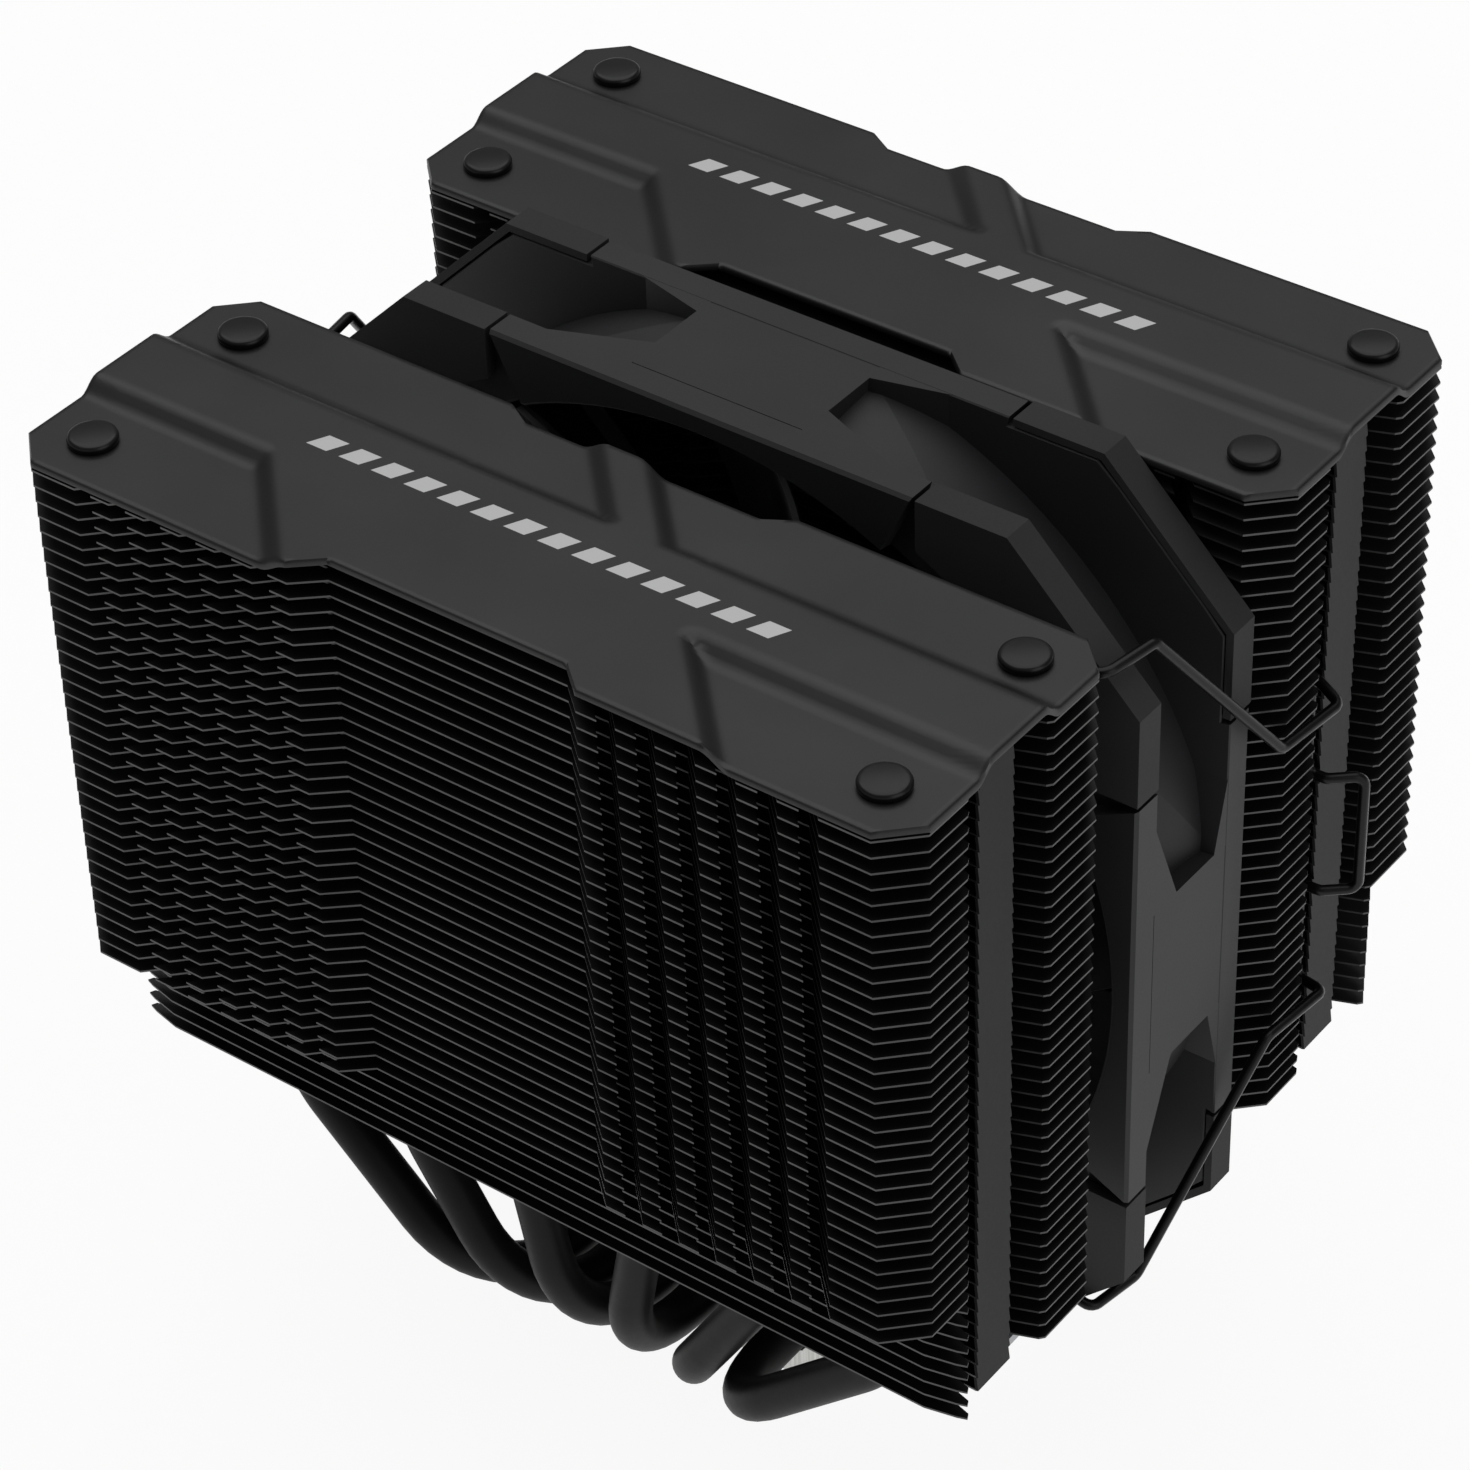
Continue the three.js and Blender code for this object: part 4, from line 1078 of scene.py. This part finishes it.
HUB_RADIUS = 21 * MM
CUP_SEGMENTS = 72
BLADE_COUNT, BLADE_SPANS, BLADE_CHORDS = 9, 10, 12
BLADE_ROOT = HUB_RADIUS - 0.6 * MM
ROOT_PITCH, PITCH_DROP, SWEEP = 50, 20, 14  # degrees, from root to tip
ROOT_CHORD, CHORD_GROWTH = 24 * MM, 12 * MM
CAMBER = 2.6 * MM
EDGE_HALF, BODY_HALF = 0.5 * MM, 0.6 * MM  # half thickness at an edge, and what mid-chord adds
BLADE_DEPTH = 0.8  # the depth that the pitch gives is squeezed to this share


def blade_points(turn, tip, low, high, middle):
    """Both faces of a twisted, swept blade whose root stands at the angle turn."""
    points = []
    for face in (0, 1):
        for s in range(BLADE_SPANS + 1):
            share = s / BLADE_SPANS
            radius = BLADE_ROOT + (tip - BLADE_ROOT) * share
            pitch = math.radians(ROOT_PITCH - PITCH_DROP * share)
            chord = ROOT_CHORD + CHORD_GROWTH * share
            sweep = math.radians(SWEEP) * share ** 2
            for c in range(BLADE_CHORDS + 1):
                t = c / BLADE_CHORDS - 0.5
                bulge = 1 - (2 * t) ** 2
                half = EDGE_HALF + BODY_HALF * bulge
                lift = CAMBER * bulge + (half if face else -half)
                along = t * chord * math.cos(pitch) - lift * math.sin(pitch)
                depth = t * chord * math.sin(pitch) + lift * math.cos(pitch)
                y = min(max(middle + depth * BLADE_DEPTH, low), high)
                points.append(at_fan(radius, turn + sweep + along / radius, y))
    return points


def blade_faces():
    """Faces of a blade's two grids of points, and of the rim that joins them."""
    n = BLADE_CHORDS + 1
    layer = (BLADE_SPANS + 1) * n
    faces = []
    for s in range(BLADE_SPANS):
        for c in range(BLADE_CHORDS):
            a = s * n + c
            faces.append((a, a + 1, a + n + 1, a + n))
            faces.append((layer + a, layer + a + n, layer + a + n + 1, layer + a + 1))
    rim = (
        [s * n for s in range(BLADE_SPANS + 1)]
        + [BLADE_SPANS * n + c for c in range(1, n)]
        + [s * n + BLADE_CHORDS for s in range(BLADE_SPANS - 1, -1, -1)]
        + list(range(BLADE_CHORDS - 1, 0, -1))
    )
    for a, b in zip(rim, rim[1:] + rim[:1]):
        faces.append((a, a + layer, b + layer, b))
    return faces


def rotor():
    """Nine twisted blades round a cup."""
    low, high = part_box("fan_rotor")
    front, back = low.y + 1 * MM, high.y - 2 * MM
    cup = turned("rotor_cup", [
        (0, 0), (HUB_RADIUS - 2.2 * MM, 0), (HUB_RADIUS - 0.8 * MM, 0.4 * MM),
        (HUB_RADIUS, 1.6 * MM), (HUB_RADIUS, back - front), (0, back - front),
    ], CUP_SEGMENTS, rotor_pbt)
    cup.data.transform(
        Matrix.Translation((0, front, FAN_CENTRE)) @ Matrix.Rotation(-math.pi / 2, 4, "X"),
    )
    parts = [settle(cup, 30)]
    for b in range(BLADE_COUNT):
        turn = b / BLADE_COUNT * math.tau
        points = blade_points(turn, (high.x - low.x) / 2, low.y, high.y, (front + back) / 2)
        blade = from_points(f"blade_{b + 1}", points, blade_faces(), rotor_pbt)
        parts.append(settle(blade, 50))
    hand_over(joined("moulded_rotor", parts), "rotor", "grey_rotor", "fan_rotor")


rotor()

# ----------------------------------------------------------------- fan clips

WIRE_RADIUS = 0.8 * MM
WIRE_BEND = 1.6 * MM
WIRE_SIDES, WIRE_ARC_POINTS = 12, 5
CLIP_HOLE = 52.5 * MM  # from the fan's axis, both ways
CLIP_LIFT = 2 * MM  # how far the loop's middle stands above the fan's axis
# Where the wire rounds the fan's corner, as x and z
CORNER_IN, CORNER_OUT = (65.5 * MM, 56.1 * MM), (67 * MM, 56.1 * MM)


def fan_clips():
    """Spring wire clips, along the same route as their CAD nodes."""
    wire_front = FAN_FRONT - WIRE_RADIUS - 0.4 * MM
    leg = (HALF_LENGTH - SLOT_DEPTH + WIRE_RADIUS + 0.9 * MM, TOWER_Y["rear"] - 6.4 * MM)
    tower_edge = TOWER_Y["rear"] - HALF_DEPTH
    at_corner = [
        (CLIP_HOLE, FAN_FRONT + 3.3 * MM, CLIP_HOLE), (CLIP_HOLE, wire_front, CLIP_HOLE),
        (CORNER_IN[0], wire_front, CORNER_IN[1]),
        (CORNER_OUT[0], FAN_FRONT + 7.9 * MM, CORNER_OUT[1]),
    ]
    at_tower = [
        (HALF_LENGTH + 1.2 * MM, tower_edge + 2 * MM, 25.6 * MM),
        (HALF_LENGTH + 2.5 * MM, TOWER_Y["rear"] - 8.5 * MM, 25.6 * MM),
        (*leg, 27 * MM), (*leg, 10 * MM), (HALF_LENGTH, leg[1] + 0.2 * MM, 10 * MM),
        (HALF_LENGTH + 3.95 * MM, leg[1] + 3.6 * MM, 10 * MM),
    ]
    upper = at_corner + [(x, y, CLIP_LIFT + z) for x, y, z in at_tower]
    lower = [(x, y, -z) for x, y, z in at_corner]
    lower += [(x, y, CLIP_LIFT - z) for x, y, z in at_tower]
    route = upper + lower[::-1]
    for side, sign in (("left", -1), ("right", 1)):
        path = [((sign * x, y, FAN_CENTRE + z), WIRE_BEND) for x, y, z in route]
        wire = bent_rods(
            f"{side}_wire_clip", [path], WIRE_RADIUS, WIRE_SIDES, WIRE_ARC_POINTS, spring_wire,
        )
        hand_over(wire, f"{side}_clip", "clip_wire", f"{side}_fan_clip")


fan_clips()

# ------------------------------------------------------------- spring screws


SPRING_WIRE = 0.35 * MM
SPRING_TURNS, SPRING_STEPS = 5, 24  # points on a turn
SPRING_SIDES = 10
SPRING_RISE = 0.97  # share of the height that the turns between the flat ends climb


def screw_springs():
    """Compression springs with flattened end turns."""
    for side in ("left", "right"):
        low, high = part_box(f"{side}_screw_spring")
        centre = (low + high) / 2
        coil = (high.x - low.x) / 2 - SPRING_WIRE
        bottom, top = low.z + SPRING_WIRE, high.z - SPRING_WIRE
        path = []
        for i in range(SPRING_TURNS * SPRING_STEPS + 1):
            share = i / (SPRING_TURNS * SPRING_STEPS)
            angle = share * SPRING_TURNS * math.tau
            eased = min(max((share * SPRING_TURNS - 0.5) / (SPRING_TURNS - 1), 0), 1)
            climb = (1 - SPRING_RISE) * share + SPRING_RISE * eased
            path.append(((
                centre.x + coil * math.cos(angle), centre.y + coil * math.sin(angle),
                bottom + (top - bottom) * climb,
            ), 0.0))
        spring = bent_rods(
            f"{side}_coil_spring", [path], SPRING_WIRE, SPRING_SIDES, 1, zinc_steel,
        )
        hand_over(spring, "heatsink", "steel_hardware", f"{side}_screw_spring")
        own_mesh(spring)


screw_springs()


def repaint(node, material):
    """Gives a CAD node that is kept as it is its finish."""
    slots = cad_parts[node].data.materials
    slots.clear()
    slots.append(material)


for node_name, node_material in {
    "fan_shaft": zinc_steel, "fan_bearing": sintered_bronze, "fan_magnet_ring": ferrite,
    "fan_stator": winding, "fan_circuit_board": solder_mask,
    "left_bar_screw": zinc_steel, "right_bar_screw": zinc_steel,
    "left_spring_screw": zinc_steel, "right_spring_screw": zinc_steel,
    "left_retaining_ring": zinc_steel, "right_retaining_ring": zinc_steel,
}.items():
    repaint(node_name, node_material)

# ---------------------------------------------------------- light and camera

floor()


def soft_light(name, place, target, size, power):
    """A square soft light that faces a point."""
    data = bpy.data.lights.new(name, "AREA")
    data.shape = "SQUARE"
    data.size = size
    data.energy = power
    lamp = bpy.data.objects.new(name, data)
    lamp.location = place
    lamp.rotation_euler = (Vector(target) - Vector(place)).to_track_quat("-Z", "Y").to_euler()
    bpy.context.scene.collection.objects.link(lamp)


MIDDLE = (0, 0, 0.09)
soft_light("overhead softbox", (-0.3, 0.3, 1.6), MIDDLE, 2.2, 22)
soft_light("right softbox", (1.5, -0.2, 0.7), MIDDLE, 1.2, 4.2)

SURROUND_LIGHT = 0.22  # strength of the surround as a light; the camera sees it at full


def studio_world():
    """A dim white surround, which looks as pale as the floor where the camera sees it."""
    world = bpy.data.worlds.new("Studio")
    world.use_nodes = True
    tree = world.node_tree
    seen = add_node(tree, "ShaderNodeLightPath").outputs["Is Camera Ray"]
    background = tree.nodes["Background"]
    background.inputs["Color"].default_value = linear(PALE)
    strength = add_node(tree, "ShaderNodeMapRange", {"Value": seen, "To Min": SURROUND_LIGHT})
    tree.links.new(strength.outputs["Result"], background.inputs["Strength"])
    bpy.context.scene.world = world


studio_world()
bpy.context.scene.view_settings.view_transform = "Standard"

# The camera looks down on the front right-hand corner
AZIMUTH, ELEVATION, ROLL = math.radians(37.936), math.radians(38.205), math.radians(-2.105)
DISTANCE = 685.96 * MM
TARGET = Vector((-2.671, 0.235, 97.24)) * MM
LENS, SENSOR_WIDTH = 119.78, 36  # millimetres


def add_camera():
    """A camera that faces TARGET, rolled about its own axis."""
    data = bpy.data.cameras.new("Camera")
    data.sensor_width = SENSOR_WIDTH
    data.lens = LENS
    data.clip_start = 0.01
    data.clip_end = 50
    camera = bpy.data.objects.new("Camera", data)
    back = Vector((
        math.sin(AZIMUTH) * math.cos(ELEVATION), -math.cos(AZIMUTH) * math.cos(ELEVATION),
        math.sin(ELEVATION),
    ))
    right = Vector((math.cos(AZIMUTH), math.sin(AZIMUTH), 0))
    up = back.cross(right)
    rolled_right = right * math.cos(ROLL) + up * math.sin(ROLL)
    rolled_up = up * math.cos(ROLL) - right * math.sin(ROLL)
    axes = Matrix((rolled_right, rolled_up, back)).transposed().to_4x4()
    camera.matrix_world = Matrix.Translation(TARGET + back * DISTANCE) @ axes
    bpy.context.scene.collection.objects.link(camera)
    bpy.context.scene.camera = camera


add_camera()
